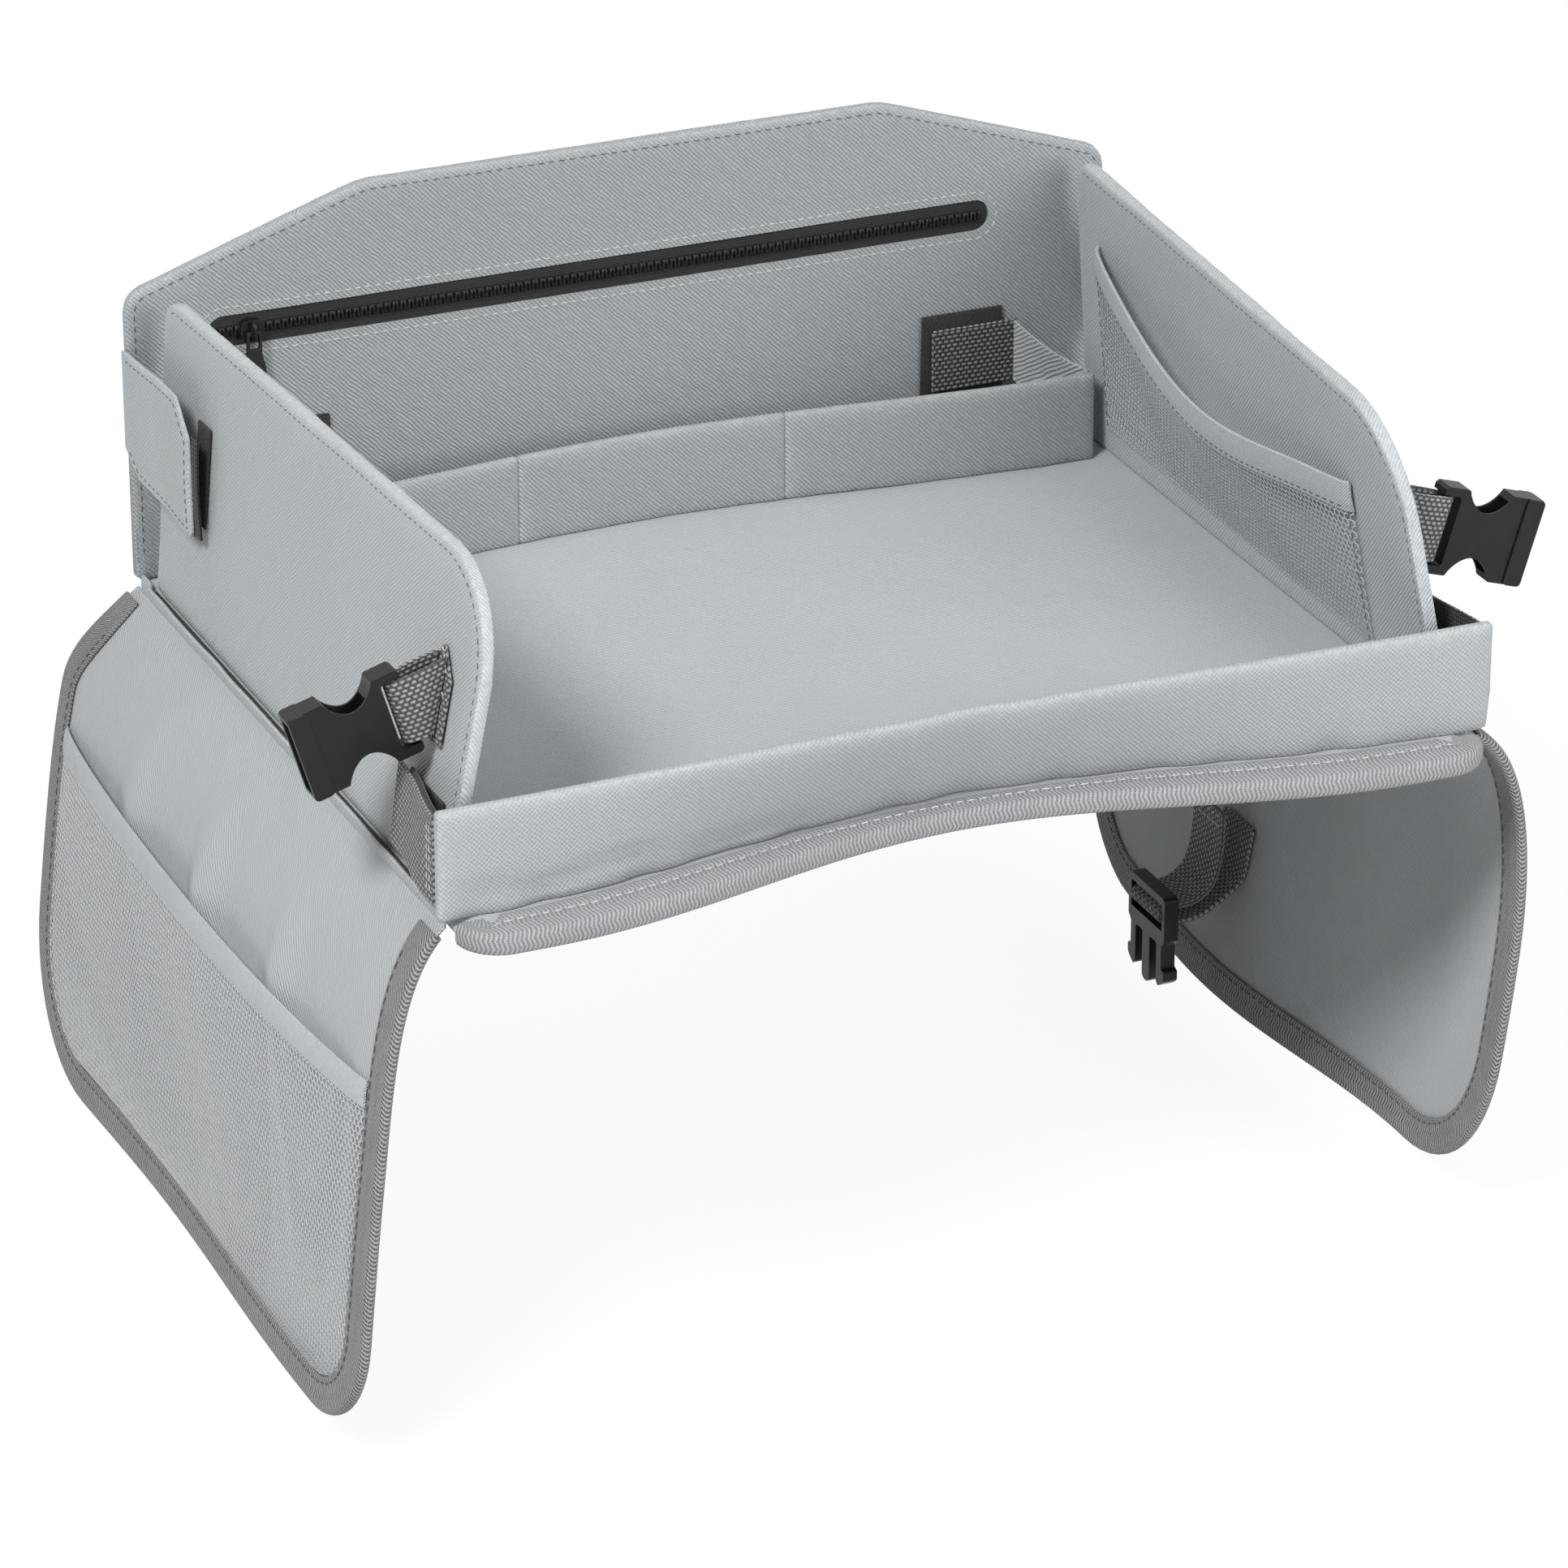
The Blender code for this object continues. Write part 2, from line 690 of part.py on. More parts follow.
def add_pull(carrier):
    """Build the pull: a plate whose ring end turns under the slider's bridge."""
    bar = PULL_THICKNESS / 2
    half = PULL_WIDTH / 2
    neck = PULL_NECK / 2
    corners = [
        (-neck, bar, 0),
        (neck, bar, 0),
        (neck, -PULL_LENGTH * 0.36, 0),
        (half, -PULL_LENGTH * 0.62, PULL_WIDTH),
        (half, -PULL_LENGTH, PULL_WIDTH * 0.45),
        (-half, -PULL_LENGTH, PULL_WIDTH * 0.45),
        (-half, -PULL_LENGTH * 0.62, PULL_WIDTH),
        (-neck, -PULL_LENGTH * 0.36, 0),
    ]
    built = slab(rounded(corners, 4), -bar, bar, lambda u, v, w: (u, w, v))
    pull = add_object("zip_pull", built, "black_zip", carrier)
    window = BRIDGE_WIDTH / 2 + LOOSE_GAP
    ring = block(
        "pull_window",
        (-window, -PULL_THICKNESS, -bar - BRIDGE_HEIGHT - BRIDGE_BAR * 2),
        (window, PULL_THICKNESS, -bar),
        carrier,
    )
    cut(pull, ring)
    hole_outline = [
        (
            PULL_HOLE * math.cos(math.tau * step / 12),
            PULL_HOLE * math.sin(math.tau * step / 12) - PULL_LENGTH * 0.8,
        )
        for step in range(12)
    ]
    hole = slab(hole_outline, -PULL_THICKNESS, PULL_THICKNESS, lambda u, v, w: (u, w, v))
    cut(pull, add_object("pull_hole", hole, "black_zip", carrier))
    apply_cuts(pull)


def add_corner_tab(side, carrier):
    """Build the tab that wraps from the back wall's end round the side wall, and its hooks."""
    sign = SIDES[side]
    offset = SEAM_GAP + TAB_THICKNESS / 2
    location = (sign * (BACK_WIDTH / 2 + offset), -BACK_THICKNESS / 2, 0)
    carried = frame(side + "_tab_frame", location, (0, 0, sign * TAB_AJAR), carrier)
    top = TAB_FOOT + TAB_HEIGHT
    corners = [
        (0, TAB_FOOT + TAB_CHAMFER, 0),
        (-TAB_CHAMFER, TAB_FOOT + TAB_CHAMFER * 0.3, TAB_ROUNDING),
        (-TAB_LENGTH, TAB_FOOT, TAB_FOOT_ROUNDING),
        (-TAB_LENGTH, top - TAB_CHAMFER, TAB_ROUNDING),
        (-TAB_LENGTH + TAB_CHAMFER, top, TAB_ROUNDING),
        (0, top, 0),
    ]
    half = TAB_THICKNESS / 2
    built = slab(rounded(corners, 3), -half, half, lambda u, v, w: (w, u, v))
    add_object(side + "_tab", built, "grey_fabric", carried)

    inner = -sign * (half + SEAM_GAP)
    outer = inner - sign * HOOK_THICKNESS
    front = -TAB_LENGTH - HOOK_OVERHANG
    hook_foot = TAB_FOOT + (TAB_HEIGHT - TAB_CHAMFER - HOOK_HEIGHT) / 2
    outline = [
        (front, hook_foot),
        (front + HOOK_WIDTH, hook_foot),
        (front + HOOK_WIDTH, hook_foot + HOOK_HEIGHT),
        (front, hook_foot + HOOK_HEIGHT),
    ]
    built = slab(outline, inner, outer, lambda u, v, w: (w, u, v))
    add_object(side + "_tab_hooks", built, "black_velcro", carried)


def add_wall_patch(name, side, carrier, outline, thickness, finish):
    """Build a flat piece sewn on a side wall's outer face."""
    sign = SIDES[side]
    low = WALL_THICKNESS + SEAM_GAP
    rings = [[on_wall(sign, u, v, low + rise) for u, v in outline] for rise in (0, thickness)]
    return add_object(name, loft(rings), finish, carrier)


def rectangle(u0, v0, u1, v1):
    """Return a rectangle's outline."""
    return [(u0, v0), (u1, v0), (u1, v1), (u0, v1)]


def add_wall_fastenings(side, carrier):
    """Build the two loop patches that the rail strap and the corner tab hold on to."""
    rail_top = RAIL_VELCRO_FOOT + RAIL_VELCRO_HEIGHT
    strap = rectangle(
        RAIL_VELCRO_FOOT, RAIL_VELCRO_FOOT, RAIL_VELCRO_LENGTH, rail_top
    )
    add_wall_patch(side + "_rail_loops", side, carrier, strap, HOOK_THICKNESS, "black_velcro")
    rear = BACK_FRONT_Y + BACK_THICKNESS / 2 - WALL_START_Y - TAB_LENGTH
    tab = rectangle(rear, TAB_FOOT, rear + HOOK_WIDTH, TAB_FOOT + HOOK_HEIGHT)
    add_wall_patch(side + "_tab_loops", side, carrier, tab, HOOK_THICKNESS, "black_velcro")


def add_buckle_mounting(side, carrier):
    """Build the sewn patch and the webbing loop that hold a buckle, and return its frame."""
    sign = SIDES[side]
    low = BUCKLE_HEIGHT - WEB_WIDTH / 2
    high = BUCKLE_HEIGHT + WEB_WIDTH / 2
    front = BUCKLE_POSITION - WEB_WIDTH * 0.3
    rear = BUCKLE_POSITION + WEB_WIDTH * 0.3
    patch = [
        (front, low),
        (rear, low),
        (rear, high),
        (BUCKLE_POSITION + WEB_WIDTH * 0.1, high + WEB_WIDTH / 2),
        (front, high),
    ]
    add_wall_patch(side + "_buckle_patch", side, carrier, patch, WEB_THICKNESS, "grey_webbing")

    face = WALL_THICKNESS + SEAM_GAP + WEB_THICKNESS + SEAM_GAP
    stand = WALL_THICKNESS + BUCKLE_STANDOFF
    carried = frame(
        side + "_buckle_frame",
        on_wall(sign, BUCKLE_POSITION, BUCKLE_HEIGHT, stand),
        (0, sign * (BUCKLE_DROOP - wall_turn(BUCKLE_POSITION)), 0),
        carrier,
    )
    radius = BUCKLE_BAR / 2 + STRAP_PLAY + WEB_THICKNESS / 2
    cos, sin = math.cos(BUCKLE_DROOP), math.sin(BUCKLE_DROOP)
    half = WEB_WIDTH / 2
    sections = []
    steps = 8
    for step in range(steps + 1):
        angle = math.pi / 2 - math.pi * step / steps
        ring = []
        for lift in (-WEB_THICKNESS / 2, WEB_THICKNESS / 2):
            reach = radius + lift
            ring.append((reach * math.cos(angle), reach * math.sin(angle)))
        sections.append(ring)

    def ring_points(ring, at_wall):
        points = []
        for (a, y), across in ((ring[0], -half), (ring[0], half), (ring[1], half), (ring[1], -half)):
            along = (face - stand - across * sin) / cos if at_wall else a
            points.append((sign * along, y, across))
        return points

    rings = [ring_points(sections[0], True)]
    rings += [ring_points(ring, False) for ring in sections]
    rings.append(ring_points(sections[-1], True))
    add_object(side + "_buckle_loop", loft(rings), "grey_webbing", carried)
    return carried


def buckle_half_width(along):
    """Return the buckle's half width, drawn in where the prongs are pressed."""
    start = BUCKLE_LENGTH * 0.24
    end = BUCKLE_LENGTH * 0.68
    if not start < along < end:
        return BUCKLE_WIDTH / 2
    share = (along - start) / (end - start)
    return BUCKLE_WIDTH / 2 - (BUCKLE_WIDTH / 2 - BUCKLE_WAIST) * math.sin(math.pi * share) ** 0.7


def add_socket_buckle(side, carrier):
    """Build the socket half: a hollow moulding with drawn-in sides, a slot and a strap bar."""
    sign = SIDES[side]
    bar_end = -BUCKLE_BAR / 2
    mouth = BUCKLE_LENGTH + bar_end
    steps = 20
    upper = []
    for step in range(steps + 1):
        along = BUCKLE_LENGTH * step / steps
        upper.append((bar_end + along, buckle_half_width(along)))
    outline = upper + [(a, -b) for a, b in reversed(upper)]
    half = BUCKLE_THICKNESS / 2
    built = slab(outline, -half, half, lambda u, v, w: (sign * u, w, v))
    buckle = add_object(side + "_buckle", built, "black_plastic", carrier, math.radians(35))

    def hollow(name, low, high):
        """Cut a box given along, through and across the buckle."""
        first = (min(sign * low[0], sign * high[0]), low[1], low[2])
        last = (max(sign * low[0], sign * high[0]), high[1], high[2])
        cut(buckle, block(side + name, first, last, carrier))

    strap = WEB_WIDTH / 2 + LOOSE_GAP * 2
    bar = BUCKLE_BAR / 2
    hollow("_slot", (bar, -half * 2, -strap), (bar + BUCKLE_SLOT, half * 2, strap))
    hollow("_bar_front", (bar_end * 2, bar, -strap), (bar * 1.5, half * 2, strap))
    hollow("_bar_rear", (bar_end * 2, -half * 2, -strap), (bar * 1.5, -bar, strap))
    inner = half - BUCKLE_WALL
    across = BUCKLE_WIDTH / 2 - BUCKLE_WALL * 1.4
    hollow(
        "_mouth",
        (mouth - BUCKLE_MOUTH_DEPTH, -inner, -across),
        (mouth + bar, inner, across),
    )
    apply_cuts(buckle)


def rail_foot_y(x):
    """Return where the front rail meets the board: it follows the board's cut-out edge."""
    return FRONT_Y + RAIL_SETBACK + RAIL_BOW * bow(x, HALF_WIDTH)


def rail_top_y(x):
    """Return the rail's top line, which its two ends pull nearly straight."""
    return FRONT_Y + RAIL_SETBACK + RAIL_TOP_BOW * bow(x, HALF_WIDTH)


def upright_strip(stations, foot, top, foot_z, height, thickness):
    """Return the rings of a padded strip that stands on a curved line."""
    rings = []
    half = thickness / 2
    for x in stations:
        rings.append(
            [
                (x, foot(x) - half, foot_z),
                (x, foot(x) + half, foot_z),
                (x, top(x) + half, foot_z + height),
                (x, top(x) - half, foot_z + height),
            ]
        )
    return rings


def add_front_rail(side):
    """Build one half of the front rail, its end strap and the hooks inside the strap."""
    sign = SIDES[side]
    end = HALF_WIDTH + RAIL_OVERHANG
    foot_z = BASE_THICKNESS + SEAM_GAP
    steps = 12
    start = SEAM_GAP / 2
    stations = [sign * (start + (end - start) * step / steps) for step in range(steps + 1)]
    rings = upright_strip(
        stations, rail_foot_y, rail_top_y, foot_z, RAIL_HEIGHT, RAIL_THICKNESS
    )
    rail = add_object(
        side + "_front_rail", loft(rings), "grey_fabric", None, math.radians(40)
    )
    soften(rail, PAD_ROUNDING)

    middle_x = sign * (end - WEB_THICKNESS / 2)
    start_y = rail_foot_y(end) + RAIL_THICKNESS / 2 + SEAM_GAP
    low = foot_z + RAIL_STRAP_FOOT
    outline = rectangle(start_y, low, start_y + RAIL_STRAP_LENGTH, low + RAIL_STRAP_HEIGHT)
    half = WEB_THICKNESS / 2
    built = slab(outline, middle_x - half, middle_x + half, lambda u, v, w: (w, u, v))
    add_object(side + "_rail_strap", built, "grey_webbing")
    inner = middle_x - sign * (half + SEAM_GAP)
    high = low + RAIL_STRAP_HEIGHT + HOOK_THICKNESS
    outline = rectangle(start_y, low + RAIL_STRAP_FOOT, start_y + RAIL_VELCRO_LENGTH, high)
    built = slab(outline, inner - sign * HOOK_THICKNESS, inner, lambda u, v, w: (w, u, v))
    add_object(side + "_rail_hooks", built, "black_velcro")


def divider_y(x):
    """Return the divider's line, bowed towards the back wall in its middle."""
    return BACK_FRONT_Y - DIVIDER_SETBACK + DIVIDER_BOW * bow(x, DIVIDER_HALF)


def add_divider():
    """Build the divider's three boards, sewn in one strip that folds at two creases."""
    foot_z = BASE_THICKNESS + SEAM_GAP
    half_gap = SEAM_GAP / 2
    spans = {
        "left_divider": (-DIVIDER_HALF, -DIVIDER_CREASE - half_gap),
        "middle_divider": (-DIVIDER_CREASE + half_gap, DIVIDER_CREASE - half_gap),
        "right_divider": (DIVIDER_CREASE + half_gap, DIVIDER_HALF),
    }
    steps = 8
    for name, (start, end) in spans.items():
        stations = [start + (end - start) * step / steps for step in range(steps + 1)]
        rings = upright_strip(
            stations, divider_y, divider_y, foot_z, DIVIDER_HEIGHT, DIVIDER_THICKNESS
        )
        board = add_object(name, loft(rings), "grey_fabric", None, math.radians(40))
        soften(board, PAD_ROUNDING * 0.8)


def add_divider_end(side):
    """Build the cloth return from the divider's end to the back wall, and its strap."""
    sign = SIDES[side]
    foot_z = BASE_THICKNESS + SEAM_GAP
    strap_low = foot_z + DIVIDER_STRAP_FOOT
    strap_y = BACK_FRONT_Y - SEAM_GAP * 2 - HOOK_THICKNESS - WEB_THICKNESS
    front_y = divider_y(DIVIDER_HALF) + DIVIDER_THICKNESS / 2 + SEAM_GAP
    rear_x = DIVIDER_HALF - RETURN_REACH
    rings = []
    for share in (0, 0.5, 1):
        x = sign * (DIVIDER_HALF - RETURN_REACH * share)
        y = front_y + (strap_y - SEAM_GAP - front_y) * share
        low = foot_z + (strap_low - foot_z) * share
        high = foot_z + DIVIDER_HEIGHT + (strap_low + WEB_WIDTH - foot_z - DIVIDER_HEIGHT) * share
        inner = x - sign * RETURN_THICKNESS
        rings.append([(inner, y, low), (x, y, low), (x, y, high), (inner, y, high)])
    add_object(side + "_divider_return", loft(rings), "grey_fabric")

    end_x = rear_x - DIVIDER_STRAP_LENGTH
    outline = rectangle(sign * rear_x, strap_low, sign * end_x, strap_low + WEB_WIDTH)
    built = slab(outline, strap_y, strap_y + WEB_THICKNESS, lambda u, v, w: (u, w, v))
    add_object(side + "_divider_strap", built, "grey_webbing")


def add_divider_hold(side, carrier):
    """Build the loop patch on the back wall that a divider strap holds on to."""
    sign = SIDES[side]
    rear_x = DIVIDER_HALF - RETURN_REACH - SLIDER_LENGTH / 2
    end_x = rear_x - DIVIDER_STRAP_LENGTH
    low = DIVIDER_STRAP_FOOT - DIVIDER_VELCRO_RISE / 2
    outline = rectangle(sign * rear_x, low, sign * end_x, low + WEB_WIDTH + DIVIDER_VELCRO_RISE * 1.5)
    face = -BACK_THICKNESS - SEAM_GAP
    built = slab(outline, face - HOOK_THICKNESS, face, lambda u, v, w: (u, w, v))
    add_object(side + "_divider_loops", built, "black_velcro", carrier)


def hang(side, drop):
    """Return how far out and down a flap's cloth has gone after a length of it, and its slope."""
    shoulder, lean, _ = FLAP_HANG[side]
    out, down = 0, 0
    steps = 24
    for step in range(steps):
        middle = drop * (step + 0.5) / steps
        slope = shoulder / FLAP_ROUNDING * math.exp(-middle / FLAP_ROUNDING) + math.sin(lean)
        slope = min(slope, 0.98)
        out += slope * drop / steps
        down += math.sqrt(1 - slope * slope) * drop / steps
    last = shoulder / FLAP_ROUNDING * math.exp(-drop / FLAP_ROUNDING) + math.sin(lean)
    return out, down, math.asin(min(last, 0.98))


def flap_edges(drop, inset=0):
    """Return a flap's front and rear edge, in Y, at a length down its cloth."""
    front = FRONT_Y + FLAP_FRONT_INSET - FLAP_FRONT_FLARE * smooth_step(drop / (FLAP_DROP / 2)) + inset
    flare = FLAP_REAR_FLARE * smooth_step(drop * 4 / FLAP_DROP)
    rear = REAR_Y - FLAP_REAR_INSET + flare - inset
    end = FLAP_DROP - inset
    cuts = []
    for radius in (FLAP_FRONT_RADIUS - inset, FLAP_REAR_RADIUS - inset):
        past = min(max(drop - (end - radius), 0), radius)
        cuts.append(radius - math.sqrt(radius * radius - past * past))
    return front + cuts[0], rear - cuts[1]


def flap_point(side, y, drop, lift=0):
    """Return the place on a flap's cloth at a Y and a length down it, raised by lift."""
    out, down, slope = hang(side, max(drop, 0))
    fullness = smooth_step(drop / FLAP_DROP)
    wave = math.cos(math.tau * (y - CLIP_POSITION) / FLAP_FOLD_LENGTH)
    fold = -FLAP_HANG[side][2] * fullness * wave
    sign = SIDES[side]
    x = out + fold + lift * math.cos(slope)
    z = -down + lift * math.sin(slope)
    return (sign * x, y, z)


def flap_rows():
    """Return the lengths down a flap at which its cloth is stepped, finer where it bends."""
    shoulder_shares = (0, 0.018, 0.038, 0.06, 0.085, 0.115, 0.15, 0.195, 0.25, 0.31, 0.37)
    shoulder = [FLAP_DROP * share for share in shoulder_shares]
    start = FLAP_DROP - FLAP_REAR_RADIUS
    between = [start * share + shoulder[-1] * (1 - share) for share in (0.33, 0.67, 1)]
    arc = [
        start + FLAP_REAR_RADIUS * math.sin(math.pi / 2 * step / 7) for step in range(1, 8)
    ]
    return shoulder + between + arc


def add_flap(side, carrier):
    """Build a side flap's cloth and the folded tape round its three free edges."""
    rows = []
    for drop in flap_rows():
        front, rear = flap_edges(drop)
        rows.append(
            [
                flap_point(side, front + (rear - front) * step / FLAP_COLUMNS, drop)
                for step in range(FLAP_COLUMNS + 1)
            ]
        )
    cloth = add_object(
        side + "_flap", sheet(rows), "grey_fabric", carrier, math.radians(50)
    )
    thicken(cloth, FLAP_THICKNESS)

    taped_rows = flap_rows()[2:]
    path = [(flap_edges(drop)[0], drop) for drop in taped_rows]
    front, rear = flap_edges(FLAP_DROP)
    for step in range(1, FLAP_COLUMNS):
        path.append((front + (rear - front) * step / FLAP_COLUMNS, FLAP_DROP))
    path += [(flap_edges(drop)[1], drop) for drop in reversed(taped_rows)]
    rings = []
    for index, point in enumerate(path):
        before = Vector(path[max(index - 1, 0)])
        after = Vector(path[min(index + 1, len(path) - 1)])
        along = (after - before).normalized()
        if index in (0, len(path) - 1):
            along = Vector((0, 1 if index == 0 else -1))
        inward = Vector((along.y, -along.x))
        rings.append(
            tape_ring(
                lambda inset, lift: flap_point(
                    side, point[0] + inward.x * inset, point[1] + inward.y * inset, lift
                ),
                FLAP_THICKNESS / 2,
                FLAP_TAPE_WIDTH,
            )
        )
    add_object(side + "_flap_tape", loft(rings), "grey_tape", carrier, math.radians(40))


def add_flap_pocket(side, carrier):
    """Build the net pocket and its hem on a flap's outer face."""
    inset = FLAP_TAPE_WIDTH + LOOSE_GAP * 2
    rest = FLAP_THICKNESS / 2 + LOOSE_GAP + HEM_THICKNESS / 2
    top = POCKET_DROP + HEM_HEIGHT + SEAM_GAP
    end = FLAP_DROP - inset
    columns = 18

    def row(drop, share_down):
        front, rear = flap_edges(drop, inset)
        points = []
        for step in range(columns + 1):
            share = step / columns
            fullness = math.sin(math.pi * share) ** 0.7 if 0 < step < columns else 0
            lift = rest + FLAP_POCKET_BULGE * fullness * (1 - share_down) ** 1.3
            points.append(flap_point(side, front + (rear - front) * share, drop, lift))
        return points

    drops = [top + (end - top) * math.sin(math.pi / 2 * step / 9) for step in range(10)]
    net_rows = [row(drop, (drop - top) / (end - top)) for drop in drops]
    net = add_object(side + "_flap_pocket_net", sheet(net_rows), "grey_mesh", carrier)
    thicken(net, MESH_THICKNESS)
    hem = add_object(
        side + "_flap_pocket_hem",
        sheet([row(POCKET_DROP, 0), row(POCKET_DROP + HEM_HEIGHT, 0)]),
        "grey_fabric",
        carrier,
    )
    thicken(hem, HEM_THICKNESS)


def clip_seam(rise):
    """Return the middle of the clip's strap where it is sewn on the cloth, by its rise there."""
    off_cloth = (FLAP_THICKNESS + WEB_THICKNESS) / 2 + SEAM_GAP
    return flap_point("right", CLIP_POSITION, CLIP_DROP - rise, -off_cloth)


def add_clip_strap(carrier):
    """Build the adjusting strap sewn inside the right flap, and return the clip's frame."""
    seam_x, _, seam_z = clip_seam(0)
    radius = BUCKLE_BAR * 0.4 + STRAP_PLAY + WEB_THICKNESS / 2
    bar_x = seam_x - CLIP_REACH
    bar_z = seam_z - CLIP_REACH * 0.36

    def along(share_out, height):
        """Return a point by its share of the way from the seam to the bar, and its height."""
        return (seam_x - CLIP_REACH * share_out, CLIP_POSITION, bar_z + height)

    path = [clip_seam(CLIP_SEAM_HEIGHT), clip_seam(CLIP_SEAM_HEIGHT / 2), clip_seam(0)]
    path += [
        along(0.08, CLIP_REACH * 0.36 - radius * 1.4),
        along(0.34, CLIP_REACH * 0.10 - radius * 0.6),
        along(0.64, -radius),
    ]
    steps = 8
    for step in range(steps + 1):
        angle = math.pi / 2 + math.pi * step / steps
        share_out = 1 - radius * math.cos(angle) / CLIP_REACH
        path.append(along(share_out, -radius * math.sin(angle)))
    path += [
        along(0.66, radius * 1.2),
        along(0.46, radius * 2.6),
        along(0.36, CLIP_TAIL * 0.38),
        along(0.31, CLIP_TAIL * 0.64),
        along(0.29, CLIP_TAIL),
    ]
    rings = ribbon(path, (0, 1, 0), WEB_WIDTH, WEB_THICKNESS)
    add_object("clip_strap", loft(rings), "grey_webbing", carrier)
    return frame("clip_frame", (bar_x, CLIP_POSITION, bar_z), parent=carrier)


def add_clip(carrier):
    """Build the prong half: a strap frame, a guide and two sprung prongs with barbs."""
    half = CLIP_WIDTH / 2
    bar = BUCKLE_BAR * 0.4
    slot = BUCKLE_SLOT
    top = bar + slot + BUCKLE_BAR
    shoulder = -(bar + slot + BUCKLE_BAR * 1.3)
    tip = top - CLIP_LENGTH
    guide = GUIDE_WIDTH / 2
    outer = half - PRONG_BARB
    inner = outer - PRONG_WIDTH
    side = [
        (half, top),
        (half, shoulder),
        (outer, shoulder - PRONG_BARB),
        (outer, tip + PRONG_WIDTH * 2.6),
        (half, tip + PRONG_WIDTH * 2.4),
        (half, tip + PRONG_WIDTH * 1.4),
        (inner + PRONG_WIDTH * 0.4, tip + PRONG_BARB),
        (inner, tip + PRONG_WIDTH),
        (inner, shoulder - PRONG_BARB),
        (guide, shoulder - PRONG_BARB),
        (guide, tip + guide * 0.6),
        (guide * 0.4, tip),
    ]
    outline = side + [(-u, v) for u, v in reversed(side)]
    depth = CLIP_THICKNESS / 2
    built = slab(outline, -depth, depth, lambda u, v, w: (w, u, v))
    clip = add_object("clip", built, "black_plastic", carrier, math.radians(35))
    strap = WEB_WIDTH / 2 + LOOSE_GAP * 2
    deep = depth * 2
    cut(clip, block("clip_upper_slot", (-deep, -strap, bar), (deep, strap, bar + slot), carrier))
    cut(clip, block("clip_lower_slot", (-deep, -strap, -bar - slot), (deep, strap, -bar), carrier))
    cut(clip, block("clip_bar_front", (-deep, -strap, -bar * 1.2), (-bar, strap, bar * 1.2), carrier))
    cut(clip, block("clip_bar_rear", (bar, -strap, -bar * 1.2), (deep, strap, bar * 1.2), carrier))
    apply_cuts(clip)


def build():
    """Build the tray from its board outwards, each moving group on its own axis."""
    for old in list(bpy.data.objects):
        bpy.data.objects.remove(old)
    add_base()
    add_divider()
    back = frame("back_wall_frame", (0, BACK_REAR_Y, BASE_THICKNESS + LOOSE_GAP))
    add_back_wall(back)
    add_slider(back, add_zipper(back))
    for side in SIDES:
        sign = SIDES[side]
        add_front_rail(side)
        add_divider_end(side)
        add_divider_hold(side, back)
        add_corner_tab(side, back)
        wall = wall_frame(side)
        add_side_wall(side, wall)
        add_wall_pocket(side, wall)
        add_wall_fastenings(side, wall)
        add_socket_buckle(side, add_buckle_mounting(side, wall))
        hinge = (sign * (HALF_WIDTH + FLAP_HINGE_OUT), 0, FLAP_HINGE_Z)
        flap = frame(side + "_flap_frame", hinge)
        add_flap(side, flap)
        add_flap_pocket(side, flap)
        if side == "right":
            add_clip(add_clip_strap(flap))
    bpy.context.view_layer.update()


build()
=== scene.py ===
"""Looks of a folding travel tray: padded walls, net pockets, hanging side flaps and buckles.

Metres, +Z up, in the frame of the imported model: X runs across the tray, Y from its front edge
to its back wall, and the origin is the middle of the board's underside.
"""

import logging
import math
from collections.abc import Callable, Sequence
from dataclasses import dataclass, field
from enum import Enum
from math import pi, radians

import bmesh
import bpy
import numpy as np
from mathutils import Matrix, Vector

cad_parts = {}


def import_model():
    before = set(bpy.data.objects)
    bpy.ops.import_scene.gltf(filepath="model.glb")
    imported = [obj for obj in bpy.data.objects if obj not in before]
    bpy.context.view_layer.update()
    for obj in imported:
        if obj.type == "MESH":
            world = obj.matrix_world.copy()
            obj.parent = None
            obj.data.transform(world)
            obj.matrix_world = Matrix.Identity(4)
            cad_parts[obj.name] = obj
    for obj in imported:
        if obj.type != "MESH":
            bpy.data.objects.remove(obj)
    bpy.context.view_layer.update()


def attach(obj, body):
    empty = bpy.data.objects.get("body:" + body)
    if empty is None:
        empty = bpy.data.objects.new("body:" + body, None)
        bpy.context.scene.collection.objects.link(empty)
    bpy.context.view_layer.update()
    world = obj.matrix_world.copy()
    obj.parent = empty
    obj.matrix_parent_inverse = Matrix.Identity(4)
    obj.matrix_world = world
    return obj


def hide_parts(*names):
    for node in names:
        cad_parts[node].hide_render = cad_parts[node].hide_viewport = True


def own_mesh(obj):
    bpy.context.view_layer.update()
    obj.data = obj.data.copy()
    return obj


LOG = logging.getLogger("tray")
MAP_NAME = "cloth_metres"
WEAR_NAME = "edge_wear"
TAU = math.tau
LINE_STEP = 0.0008
NET_PITCH = 0.0027
HEM_CLOTH = 0.0014

Array = np.ndarray
Real = Array | float
Outline = list[tuple[float, float]]
Place = Callable[[Array, Array, Array], Array]
Surface = Callable[[Array, Array], Array]
Colour = tuple[float, float, float]
Piece = bpy.types.Object
Material = bpy.types.Material


class Side(Enum):
    """The tray's two sides, by the sign of X."""

    LEFT = -1
    RIGHT = 1

    @property
    def label(self) -> str:
        """The side's name, as the nodes have it."""
        return self.name.lower()


class Face(Enum):
    """The two faces of a sewn panel, by the sign of its thickness direction."""

    REAR = -1
    FRONT = 1


